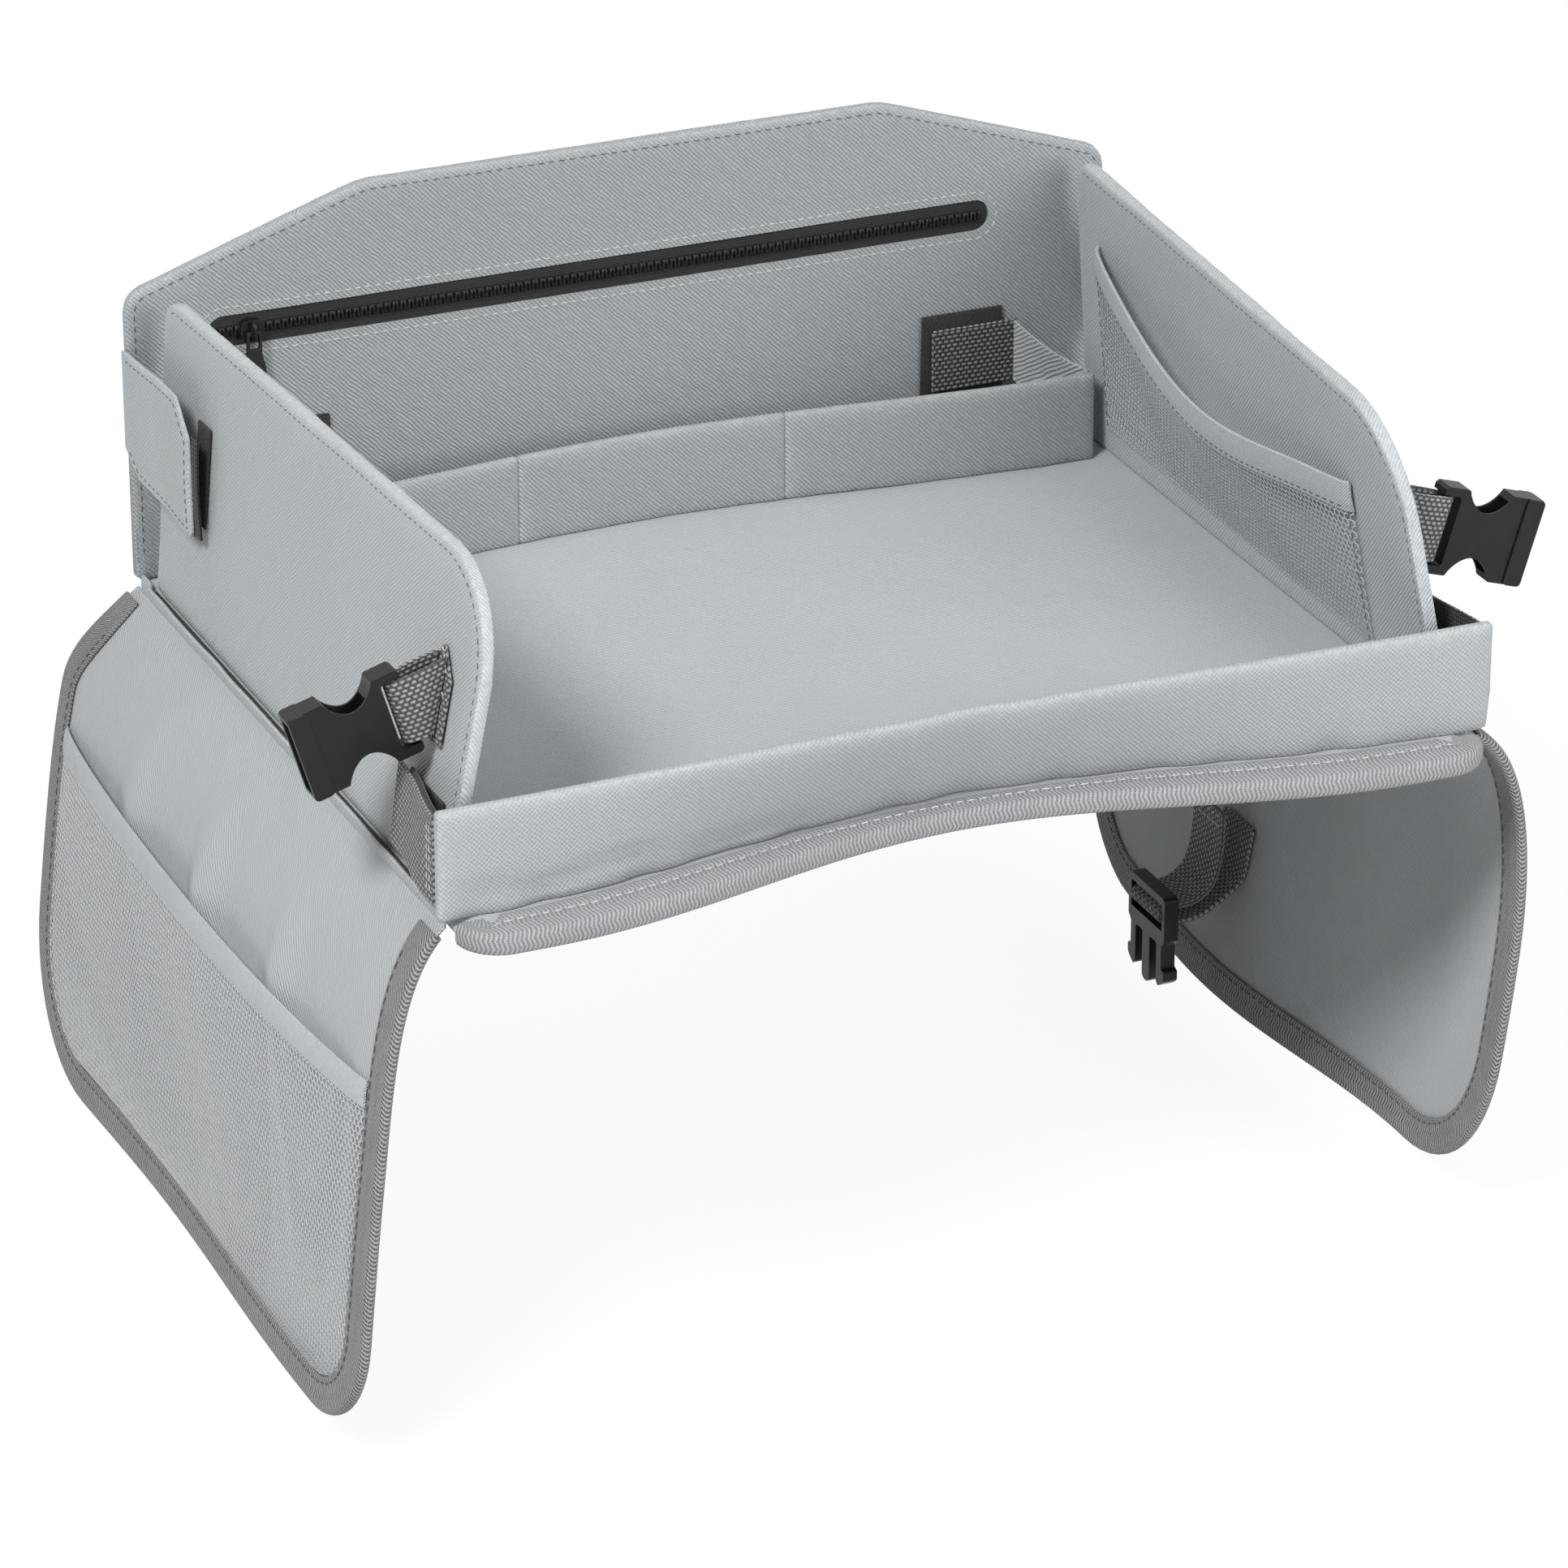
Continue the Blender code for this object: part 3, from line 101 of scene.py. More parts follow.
class Slot(Enum):
    """The record's material slots."""

    FABRIC = "grey_fabric"
    TAPE = "grey_tape"
    NET = "grey_mesh"
    WEBBING = "grey_webbing"
    VELCRO = "black_velcro"
    PLASTIC = "black_plastic"
    ZIP = "black_zip"


# Shader values


@dataclass(frozen=True)
class Wire:
    """A node's output, on which Python's operators add Math nodes."""

    graph: "Graph"
    socket: bpy.types.NodeSocket

    def out(self, name: str) -> "Wire":
        """Return another output of the same node."""
        return Wire(self.graph, self.socket.node.outputs[name])

    def math(self, operation: str, *others: "Wire | float") -> "Wire":
        """Return a Math node's result, with this value as its first."""
        return self.graph.node(
            "ShaderNodeMath", {"operation": operation}, dict(enumerate((self, *others)))
        )

    def __add__(self, other: "Wire | float") -> "Wire":
        """Return the sum."""
        return self.math("ADD", other)

    __radd__ = __add__

    def __mul__(self, other: "Wire | float") -> "Wire":
        """Return the product."""
        return self.math("MULTIPLY", other)

    __rmul__ = __mul__

    def __sub__(self, other: "Wire | float") -> "Wire":
        """Return this value less the other."""
        return self.math("SUBTRACT", other)

    def __rsub__(self, other: float) -> "Wire":
        """Return the other value less this one."""
        return self.graph.node("ShaderNodeMath", {"operation": "SUBTRACT"}, {0: other, 1: self})

    def __truediv__(self, other: "Wire | float") -> "Wire":
        """Return this value divided by the other."""
        return self.math("DIVIDE", other)

    def sin(self) -> "Wire":
        """Return the sine of this many turns, from 0 to 1."""
        return (self * TAU).math("SINE") * 0.5 + 0.5

    def fract(self) -> "Wire":
        """Return the part after the point."""
        return self.math("FRACT")

    def away(self, centre: float) -> "Wire":
        """Return the distance from a centre."""
        return (self - centre).math("ABSOLUTE")

    def over(self, low: float, high: float) -> "Wire":
        """Return 0 below low, 1 above high, eased between."""
        return self.graph.node(
            "ShaderNodeMapRange", {"interpolation_type": "SMOOTHSTEP"},
            {"Value": self, "From Min": low, "From Max": high},
        )


class Graph:
    """One finish's node tree, with the shader that it feeds."""

    def __init__(self, name: str) -> None:
        """Make an empty finish with that name."""
        self.material = bpy.data.materials.new(name)
        self.material.use_nodes = True
        self.tree = self.material.node_tree
        self.shader = self.tree.nodes["Principled BSDF"]

    def node(
        self,
        kind: str,
        settings: dict[str, object] | None = None,
        sockets: dict[int | str, object] | None = None,
        output: int | str = 0,
    ) -> Wire:
        """Add a node and return one of its outputs.

        Args:
            kind: The node's type.
            settings: Its own settings, set before its sockets.
            sockets: Values or links of its inputs, by name or number.
            output: The output wanted.

        Returns:
            The wrapped output.
        """
        made = self.tree.nodes.new(kind)
        for name, value in (settings or {}).items():
            setattr(made, name, value)
        self.join(made, sockets or {})
        return Wire(self, made.outputs[output])

    def join(self, target: bpy.types.Node, sockets: dict[int | str, object]) -> None:
        """Set or link a node's inputs."""
        for name, value in sockets.items():
            if isinstance(value, Wire):
                self.tree.links.new(value.socket, target.inputs[name])
            else:
                target.inputs[name].default_value = value

    def feed(self, **sockets: object) -> None:
        """Set or link the shader's own sockets, named with underscores for spaces."""
        self.join(self.shader, {name.replace("_", " "): value for name, value in sockets.items()})

    def lengths(self) -> tuple[Wire, Wire]:
        """Return the lengths along a piece and across it, in metres, from its own map."""
        place = self.node("ShaderNodeUVMap", {"uv_map": MAP_NAME}, {}, "UV")
        first = self.node("ShaderNodeSeparateXYZ", {}, {"Vector": place}, "X")
        return first, first.out("Y")

    def wear(self) -> Wire:
        """Return how near a place is to its piece's worn edge, from 0 to 1."""
        return self.node("ShaderNodeAttribute", {"attribute_name": WEAR_NAME}, {}, "Fac")

    def noise(self, scale: float, detail: float = 3.0, rough: float = 0.55) -> Wire:
        """Return noise in the piece's own space, with scale in cells for each metre."""
        place = self.node("ShaderNodeTexCoord", {}, {}, "Object")
        return self.node(
            "ShaderNodeTexNoise", {},
            {"Vector": place, "Scale": scale, "Detail": detail, "Roughness": rough},
        )

    def mix(self, share: Wire, first: "Wire | Colour", second: "Wire | Colour") -> Wire:
        """Return a colour between two, by a share."""
        pair = [c if isinstance(c, Wire) else (*c, 1.0) for c in (first, second)]
        sockets = {0: share, 6: pair[0], 7: pair[1]}
        return self.node("ShaderNodeMix", {"data_type": "RGBA"}, sockets, 2)

    def bump(self, height: Wire, depth: float) -> Wire:
        """Return the normal of a relief, with its depth in metres."""
        sockets = {"Height": height, "Distance": depth, "Strength": 1.0}
        return self.node("ShaderNodeBump", {}, sockets)


def shaded(colour: Colour, level: float) -> Colour:
    """Return a colour made lighter or darker."""
    return tuple(part * level for part in colour)


# Finishes


@dataclass(frozen=True)
class Finish:
    """A finish of the tray, by its material's name."""

    name: str

    def paint(self, g: Graph) -> None:
        """Feed the shader of the finish's graph."""
        raise NotImplementedError

    def build(self) -> Material:
        """Return the finish as a material."""
        graph = Graph(self.name)
        self.paint(graph)
        return graph.material


@dataclass(frozen=True)
class Cloth(Finish):
    """Coated oxford cloth: a fine diagonal weave, a little fuzz, and paler worn edges."""

    colour: Colour
    pitch: float = 0.0019
    ribbed: float = 0.30
    contrast: float = 0.80
    relief: float = 0.00035
    roughness: float = 0.78

    def paint(self, g: Graph) -> None:
        """Feed the shader of the finish's graph."""
        along, across = g.lengths()
        wobble = g.noise(150, 2) * (self.pitch * 0.6)
        a = (along + wobble) / self.pitch
        b = (across + wobble) / self.pitch
        twill = (a + b).sin()
        crossed = a.sin() * b.sin() + (1 - a.sin()) * (1 - b.sin())
        thread = twill * (1 - self.ribbed) + crossed * self.ribbed
        patch = g.noise(24, 3)
        fuzz = g.noise(2600, 2)
        tone = thread * self.contrast + patch * 0.20 + fuzz * 0.20
        share = tone / (self.contrast + 0.40)
        base = g.mix(share, shaded(self.colour, 0.70), shaded(self.colour, 1.30))
        worn = g.wear() * (g.noise(420, 4).over(0.35, 0.75) * 0.55 + 0.15)
        colour = g.mix(worn, base, shaded(self.colour, 1.42))
        g.feed(
            Base_Color=colour, Roughness=self.roughness + patch * 0.14 - thread * 0.07,
            Normal=g.bump(thread + fuzz * 0.5, self.relief), Sheen_Weight=0.12,
            Specular_IOR_Level=0.30,
        )


@dataclass(frozen=True)
class Webbing(Finish):
    """Coarse webbing: rounded light threads over dark gaps, set like bricks."""

    light: Colour
    dark: Colour
    along_pitch: float = 0.0026
    across_pitch: float = 0.0018

    def paint(self, g: Graph) -> None:
        """Feed the shader of the finish's graph."""
        along, across = g.lengths()
        wobble = g.noise(380, 2) * 0.35
        a = along / self.along_pitch + wobble
        b = across / self.across_pitch + wobble
        row = b.math("FLOOR") * 0.5
        grain = 1 - (a + row).fract().away(0.5) * 2.0
        cord = 1 - b.fract().away(0.5) * 2.0
        height = grain.over(0.0, 0.75) * cord.over(0.0, 0.8)
        yarn = g.noise(900, 3)
        lit = height * (0.45 + yarn * 0.75)
        colour = g.mix(lit, self.dark, self.light)
        colour = g.mix(g.noise(40, 2) * 0.25, colour, self.dark)
        g.feed(
            Base_Color=colour, Roughness=0.92 - lit * 0.25,
            Normal=g.bump(height + yarn * 0.2, 0.0005), Sheen_Weight=0.15, Specular_IOR_Level=0.35,
        )


@dataclass(frozen=True)
class Binding(Finish):
    """Woven binding tape: fine ribs across it that turn about in a shallow herringbone."""

    light: Colour
    dark: Colour
    pitch: float = 0.0017
    chevron: float = 0.0060

    def paint(self, g: Graph) -> None:
        """Feed the shader of the finish's graph."""
        along, across = g.lengths()
        slant = (across / self.chevron).fract().away(0.5) * (self.chevron * 0.40 / self.pitch)
        rib = (along / self.pitch + slant + g.noise(300, 2) * 0.5).sin()
        edge = (across / 0.0008).sin()
        yarn = g.noise(1300, 3)
        height = rib * 0.8 + edge * 0.2
        tone = (height * 0.75 + yarn * 0.5 - 0.12).over(0.0, 1.0)
        colour = g.mix(tone, self.dark, self.light)
        colour = g.mix(g.noise(60, 2) * 0.3, colour, self.dark)
        g.feed(
            Base_Color=colour, Roughness=0.88 - rib * 0.12,
            Normal=g.bump(height + yarn * 0.3, 0.00030), Sheen_Weight=0.10,
            Specular_IOR_Level=0.35,
        )


@dataclass(frozen=True)
class Fastener(Finish):
    """Touch fastener tape: rows of stiff hooks, or a soft mat of loops."""

    hooked: bool

    def paint(self, g: Graph) -> None:
        """Feed the shader of the finish's graph."""
        along, across = g.lengths()
        fluff = g.noise(1500, 4, 0.7)
        if self.hooked:
            dots = 1 - (along / 0.0013).fract().away(0.5) * 2.0
            rows = 1 - (across / 0.0017).fract().away(0.5) * 2.0
            pile = (dots * rows).over(0.15, 0.7)
        else:
            pile = fluff.over(0.35, 0.65)
        tone = pile * 0.7 + fluff * 0.3
        g.feed(
            Base_Color=g.mix(tone, (0.003, 0.003, 0.004), (0.020, 0.020, 0.023)),
            Roughness=0.96 - pile * 0.30, Normal=g.bump(tone, 0.0006), Sheen_Weight=0.25,
            Specular_IOR_Level=0.25,
        )


@dataclass(frozen=True)
class Moulded(Finish):
    """Moulded nylon with a fine spark grain, faint flow marks and rubbed high spots."""

    colour: Colour
    roughness: float = 0.36
    metal: float = 0.0

    def paint(self, g: Graph) -> None:
        """Feed the shader of the finish's graph."""
        grain = g.noise(3200, 2, 0.6)
        flow = g.noise(110, 3)
        rubbed = g.noise(700, 5, 0.7).over(0.62, 0.80)
        base = g.mix(flow, shaded(self.colour, 0.75), shaded(self.colour, 1.5))
        g.feed(
            Base_Color=g.mix(rubbed * 0.22, base, (0.06, 0.06, 0.064)),
            Roughness=self.roughness + flow * 0.16 + rubbed * 0.10 - 0.06, Metallic=self.metal,
            Normal=g.bump(grain, 0.00005), Specular_IOR_Level=0.28,
        )


@dataclass(frozen=True)
class Yarn(Finish):
    """Twisted yarn, for stitches and for knitted net."""

    colour: Colour
    twist: float = 0.0007

    def paint(self, g: Graph) -> None:
        """Feed the shader of the finish's graph."""
        along, across = g.lengths()
        ply = ((along + across) / self.twist).sin()
        fibre = g.noise(2400, 3)
        tone = ply * 0.5 + fibre * 0.5
        g.feed(
            Base_Color=g.mix(tone, shaded(self.colour, 0.66), shaded(self.colour, 1.25)),
            Roughness=0.82 - ply * 0.12, Normal=g.bump(tone, 0.00012), Sheen_Weight=0.15,
            Specular_IOR_Level=0.35,
        )


@dataclass(frozen=True)
class ZipTape(Finish):
    """Black zipper tape: a ribbed knit, slightly dusty along its ribs."""

    def paint(self, g: Graph) -> None:
        """Feed the shader of the finish's graph."""
        along, across = g.lengths()
        rib = (across / 0.0009).sin()
        wale = (along / 0.0007).sin()
        dust = g.noise(900, 4)
        tone = rib * 0.45 + wale * 0.2 + dust * 0.35
        g.feed(
            Base_Color=g.mix(tone, (0.006, 0.006, 0.007), (0.034, 0.034, 0.037)),
            Roughness=0.86 - rib * 0.12, Normal=g.bump(tone, 0.00025), Specular_IOR_Level=0.35,
        )


class Workshop:
    """Makes every finish once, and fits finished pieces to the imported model's bodies."""

    def __init__(self) -> None:
        """Make the finishes, with nothing fitted yet."""
        self.fitted = 0
        grey = (0.430, 0.452, 0.468)
        # inner is the grey darkened to 0.85: painted shade for the inward faces of the divider, its
        # cloth ends and the back wall.
        inner, rail = shaded(grey, 0.85), shaded(grey, 0.86)
        self.cloth = Cloth("grey_oxford", grey).build()
        self.inner = Cloth("grey_oxford_painted_shade", inner, contrast=1.8, relief=0.0006).build()
        # rail is the grey darkened to 0.86: painted shade for the front rail's face.
        self.rail = Cloth("grey_oxford_rail_painted_shade", rail, ribbed=0.7).build()
        self.hem = Cloth("pale_hem", shaded(grey, 1.12), pitch=0.0012, contrast=0.30).build()
        light, dark = (0.46, 0.47, 0.485), (0.042, 0.043, 0.048)
        self.webbing = Webbing("grey_webbing_weave", light, dark).build()
        # A darker copy of the webbing's colours: painted shade for the divider's straps low against
        # the back wall.
        light, dark = (0.34, 0.35, 0.36), (0.012, 0.0125, 0.014)
        self.painted_shade_webbing = Webbing("shaded_webbing_weave", light, dark).build()
        light, dark = (0.44, 0.45, 0.465), (0.16, 0.163, 0.17)
        self.binding = Binding("grey_binding", light, dark).build()
        # A darker copy of the binding's colours: painted shade for the tape round the hanging
        # flaps.
        light, dark = (0.43, 0.437, 0.448), (0.040, 0.042, 0.046)
        self.painted_shade_flap_binding = Binding("shaded_binding", light, dark).build()
        # Near-black colours for the strip laid in the flap's fold gap: painted shadow.
        light, dark = (0.022, 0.022, 0.024), (0.008, 0.008, 0.009)
        self.fold_shadow_tape = Binding("painted_fold_shadow", light, dark).build()
        self.hooks = Fastener("hook_tape", True).build()
        self.loops = Fastener("loop_tape", False).build()
        self.plastic = Moulded("black_nylon", (0.0065, 0.0065, 0.0080)).build()
        self.pull = Moulded("matt_pull", (0.012, 0.012, 0.014), 0.50).build()
        self.metal = Moulded("painted_slider", (0.020, 0.020, 0.022), 0.34, 0.6).build()
        self.net = Yarn("net_yarn", (0.54, 0.555, 0.57)).build()
        self.dark_thread = Yarn("dark_thread", (0.085, 0.088, 0.095)).build()
        self.pale_thread = Yarn("pale_thread", (0.62, 0.63, 0.64)).build()
        self.zip_tape = ZipTape("zip_tape_knit").build()
        self.coil = Moulded("zip_coil", (0.012, 0.012, 0.013), 0.42).build()

    def fit(self, piece: Piece, body: str, slot: Slot, *nodes: str) -> Piece:
        """Fix a piece to a body.

        Args:
            piece: The finished piece.
            body: The body that it moves with.
            slot: The slot for its finish; not used.
            nodes: The nodes that it stands for.

        Returns:
            The same piece.
        """
        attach(piece, body)
        if nodes:
            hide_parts(*nodes)
        self.fitted += 1
        LOG.info("%s rides on %s", piece.name, body)
        return piece

    def pocket(
        self,
        body: str,
        holder: str,
        surface: Surface,
        edge: Array,
        size: tuple[float, float],
        yarn: float,
    ) -> None:
        """Build a gathered net pocket with its hem and fit them.

        Args:
            body: The body that it moves with, whose name its pieces have.
            holder: The piece that it is sewn on; not used.
            surface: Turns shares along and up the net into places.
            edge: The hem's grid of places.
            size: The net's flat length and height.
            yarn: The yarn's share of the net's area.
        """
        net = knitted(surface, *size).finish(f"{body}_net", self.net, 180)
        hem = layer(f"{body}_hem", self.hem, edge, HEM_CLOTH, 0.25)
        size[0] * size[1] * yarn
        self.fit(net, body, Slot.NET, f"{body}_pocket_net")
        self.fit(hem, body, Slot.FABRIC, f"{body}_pocket_hem")


# Shapes


def bow(x: Real, half: float) -> Array:
    """Return 1 in the middle, falling smoothly to 0 at the half width and beyond."""
    return np.cos(np.minimum(np.abs(x) / half, 1) * pi / 2) ** 2


def eased(share: Real) -> Array:
    """Return a share eased at both of its ends."""
    held = np.clip(share, 0, 1)
    return held * held * (3 - 2 * held)


def ridge(x: Array, centre: float | Array, width: float) -> Array:
    """Return a smooth hump round a centre, 1 at its top."""
    return np.exp(-(((x - centre) / width) ** 2))


def ripple(s: Array, length: float, shift: float = 0.0) -> Array:
    """Return uneven waves from 0 to 1 along s, about length apart."""
    turns = TAU * s / length
    waves = np.sin(turns + shift) + 0.6 * np.sin(turns * 1.63 + shift * 2.1 + 1.3)
    waves = waves + 0.4 * np.sin(turns * 0.41 + shift * 0.7 + 2.2)
    return 0.5 + waves / 4


def even(count: int) -> Array:
    """Return even shares from 0 to 1."""
    return np.linspace(0, 1, count)


def unit(ways: Array) -> Array:
    """Return directions with a length of one."""
    return ways / np.maximum(np.linalg.norm(ways, axis=-1, keepdims=True), 1e-12)


def joined(*parts: Real) -> Array:
    """Return coordinates as points."""
    return np.stack(np.broadcast_arrays(*parts), -1)


def travel(line: Array) -> Array:
    """Return how far along a line each of its points is."""
    return np.concatenate([[0], np.cumsum(np.linalg.norm(np.diff(line, axis=0), axis=1))])


def sampled(line: Array, size: Array, at: Array) -> Array:
    """Return values along a line, given with their distances, at other distances."""
    return np.stack([np.interp(at, size, part) for part in line.T], -1)


def rounded(corners: Sequence[tuple[float, float, float]], steps: int = 8) -> Outline:
    """Return a closed outline from corners, each one filleted.

    Args:
        corners: The corners in order, each with its radius last.
        steps: How many steps a fillet takes.

    Returns:
        The outline's points in order.
    """
    outline: Outline = []
    count = len(corners)
    for index, (u, v, radius) in enumerate(corners):
        here = Vector((u, v))
        if radius == 0:
            outline.append((u, v))
            continue
        before = (Vector(corners[index - 1][:2]) - here).normalized()
        after = (Vector(corners[(index + 1) % count][:2]) - here).normalized()
        half = before.angle(after) / 2
        centre = here + (before + after).normalized() * (radius / math.sin(half))
        start = here + before * (radius / math.tan(half)) - centre
        end = here + after * (radius / math.tan(half)) - centre
        turn = start.angle_signed(end)
        for step in range(steps + 1):
            angle = -turn * step / steps
            cos, sin = math.cos(angle), math.sin(angle)
            outline.append(
                (centre.x + start.x * cos - start.y * sin, centre.y + start.x * sin + start.y * cos)
            )
    return outline


def rectangle(u0: float, v0: float, u1: float, v1: float, radius: float = 0.0008) -> Outline:
    """Return a rectangle's outline with slightly rounded corners."""
    low_u, high_u = sorted((u0, u1))
    return rounded(
        [(low_u, v0, radius), (high_u, v0, radius), (high_u, v1, radius), (low_u, v1, radius)], 3
    )


def grid(rows: Sequence[Array]) -> Array:
    """Return rows of points as one array."""
    return np.stack([np.asarray(row, float) for row in rows])


def spread(low: float, high: float, step: float, near: Sequence[float] = ()) -> Array:
    """Return stations from low to high, closer at both ends.

    Args:
        low: The first station.
        high: The last station.
        step: The widest distance between two.
        near: Distances from each end at which there is a station too.

    Returns:
        The stations in order.
    """
    room = (high - low) / 2
    kept = [d for d in near if d < room * 0.9]
    inner = kept[-1] if kept else 0.0
    count = max(1, round((high - low - 2 * inner) / step))
    middle = np.linspace(low + inner, high - inner, count + 1)
    ends = [low] + [low + d for d in kept[:-1]] if kept else []
    others = [high - d for d in reversed(kept[:-1])] + [high] if kept else []
    return np.array([*ends, *middle, *others])


@dataclass
class Frame:
    """A place in space: an origin and a turn about one axis after another."""

    origin: Array
    turn: Array = field(default_factory=lambda: np.eye(3))

    @staticmethod
    def about(axis: str, angle: float) -> Array:
        """Return the matrix of a turn about Y or Z."""
        cos, sin = math.cos(angle), math.sin(angle)
        if axis == "Y":
            return np.array([[cos, 0, sin], [0, 1, 0], [-sin, 0, cos]])
        return np.array([[cos, -sin, 0], [sin, cos, 0], [0, 0, 1]])

    def child(self, origin: Sequence[float], axis: str = "Z", angle: float = 0.0) -> "Frame":
        """Return a frame that is placed in this one."""
        return Frame(self.world(*origin), self.turn @ self.about(axis, angle))

    def upright(self, u: Array, v: Array, w: Array) -> Array:
        """Return places from lengths along a piece that stands in this frame, up it and back."""
        return self.world(u, w, v)

    def world(self, x: Real, y: Real, z: Real) -> Array:
        """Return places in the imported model's frame from places in this one."""
        local = joined(x, y, z).astype(float)
        return local @ self.turn.T + self.origin


class Skin:
    """A mesh in the making: quads with lengths in metres as their map, and their wear."""

    def __init__(self) -> None:
        """Start with nothing."""
        self.points: list[Array] = []
        self.faces: list[Array] = []
        self.maps: list[Array] = []
        self.wears: list[Array] = []
        self.count = 0

    def add(self, points: Array, faces: Array, lengths: Array, wear: Real = 0.0) -> None:
        """Add faces.

        Args:
            points: Their points, one row each.
            faces: The numbers of each face's points.
            lengths: The map's two lengths for each point.
            wear: The wear at each point, or at all of them.
        """
        self.points.append(points)
        self.faces.append(faces + self.count)
        self.maps.append(lengths)
        self.wears.append(np.broadcast_to(wear, (len(points),)))
        self.count += len(points)

    def patch(
        self,
        places: Array,
        closed: bool = False,
        flip: bool = False,
        lengths: Array | None = None,
        wear: Real = 0.0,
    ) -> None:
        """Add a grid of points as quads.

        Args:
            places: The points, by row and column.
            closed: Whether each row closes on itself.
            flip: Whether the faces look the other way.
            lengths: The map, or none to measure it along the grid.
            wear: The wear at each point, or at all of them.
        """
        if closed:
            places = np.concatenate([places, places[:, :1]], 1)
        rows, columns = places.shape[:2]
        if lengths is None:
            lengths = measured(places)
        number = np.arange(rows * columns).reshape(rows, columns)
        quads = np.stack(
            [number[:-1, :-1], number[:-1, 1:], number[1:, 1:], number[1:, :-1]], -1
        ).reshape(-1, 4)
        if flip:
            quads = quads[:, ::-1]
        spread_wear = np.broadcast_to(wear, (rows, columns)).reshape(-1)
        self.add(places.reshape(-1, 3), quads, lengths.reshape(-1, 2), spread_wear)

    def slab(self, places: Array, thickness: float, wear: Real = 0.0) -> None:
        """Add a grid as a closed sheet of a thickness, half to each side."""
        lift = normals(places) * (thickness / 2)
        lengths = measured(places)
        self.patch(places + lift, lengths=lengths, wear=wear)
        self.patch(places - lift, flip=True, lengths=lengths, wear=wear)
        loop = [places[0], places[:, -1], places[-1, ::-1], places[::-1, 0]]
        lifts = [lift[0], lift[:, -1], lift[-1, ::-1], lift[::-1, 0]]
        for edge, up in zip(loop, lifts):
            bulge = unit(np.cross(up, np.gradient(edge, axis=0))) * (-thickness * 0.3)
            self.patch(np.stack([edge - up, edge + bulge, edge + up]), flip=True, wear=0.6)

    def tube(self, rings: Array) -> None:
        """Add rings of points as a closed skin."""
        self.patch(rings, closed=True)
        for ring, flip in ((rings[0], True), (rings[-1], False)):
            middle = np.broadcast_to(ring.mean(0), ring.shape)
            self.patch(np.stack([ring, middle]), closed=True, flip=flip)

    def finish(self, name: str, material: Material, sharp: float = 50.0) -> Piece:
        """Make the object.

        Args:
            name: The piece's name.
            material: Its finish.
            sharp: The angle in degrees from which an edge stays sharp.

        Returns:
            The new object.
        """
        points = np.concatenate(self.points)
        faces = np.concatenate(self.faces)
        lengths = np.concatenate(self.maps)
        mesh = bpy.data.meshes.new(name)
        mesh.from_pydata(points.tolist(), [], faces.tolist())
        layer = mesh.uv_layers.new(name=MAP_NAME)
        layer.uv.foreach_set("vector", lengths[faces.reshape(-1)].astype(np.float32).reshape(-1))
        worn = mesh.attributes.new(WEAR_NAME, "FLOAT", "POINT")
        worn.data.foreach_set("value", np.concatenate(self.wears).astype(np.float32))
        built = bmesh.new()
        built.from_mesh(mesh)
        bmesh.ops.remove_doubles(built, verts=built.verts, dist=2e-6)
        bmesh.ops.dissolve_degenerate(built, edges=built.edges, dist=1e-7)
        bmesh.ops.recalc_face_normals(built, faces=built.faces)
        built.to_mesh(mesh)
        built.free()
        mesh.shade_smooth()
        mesh.set_sharp_from_angle(angle=radians(sharp))
        mesh.materials.append(material)
        return placed(name, mesh)


def placed(name: str, data: bpy.types.ID) -> Piece:
    """Return a new object of the scene."""
    made = bpy.data.objects.new(name, data)
    bpy.context.scene.collection.objects.link(made)
    return made


def layer(name: str, finish: Material, places: Array, thickness: float, wear: float = 0.0) -> Piece:
    """Return a grid of places as a closed sheet of a thickness."""
    skin = Skin()
    skin.slab(places, thickness, wear)
    return skin.finish(name, finish)


def measured(places: Array) -> Array:
    """Return each grid point's lengths along its row and its column, from the middle."""
    along = np.linalg.norm(np.diff(places, axis=1), axis=-1)
    along = np.concatenate([np.zeros((len(places), 1)), np.cumsum(along, 1)], 1)
    along = along - along[:, -1:] / 2
    across = np.linalg.norm(np.diff(places, axis=0), axis=-1)
    across = np.concatenate([np.zeros((1, places.shape[1])), np.cumsum(across, 0)], 0)
    middle = across[:, across.shape[1] // 2][:, None]
    return np.stack([along, np.broadcast_to(middle, along.shape)], -1)


def normals(places: Array) -> Array:
    """Return the unit normal at each point of a grid."""
    down = np.gradient(places, axis=0)
    along = np.gradient(places, axis=1)
    return unit(np.cross(along, down))


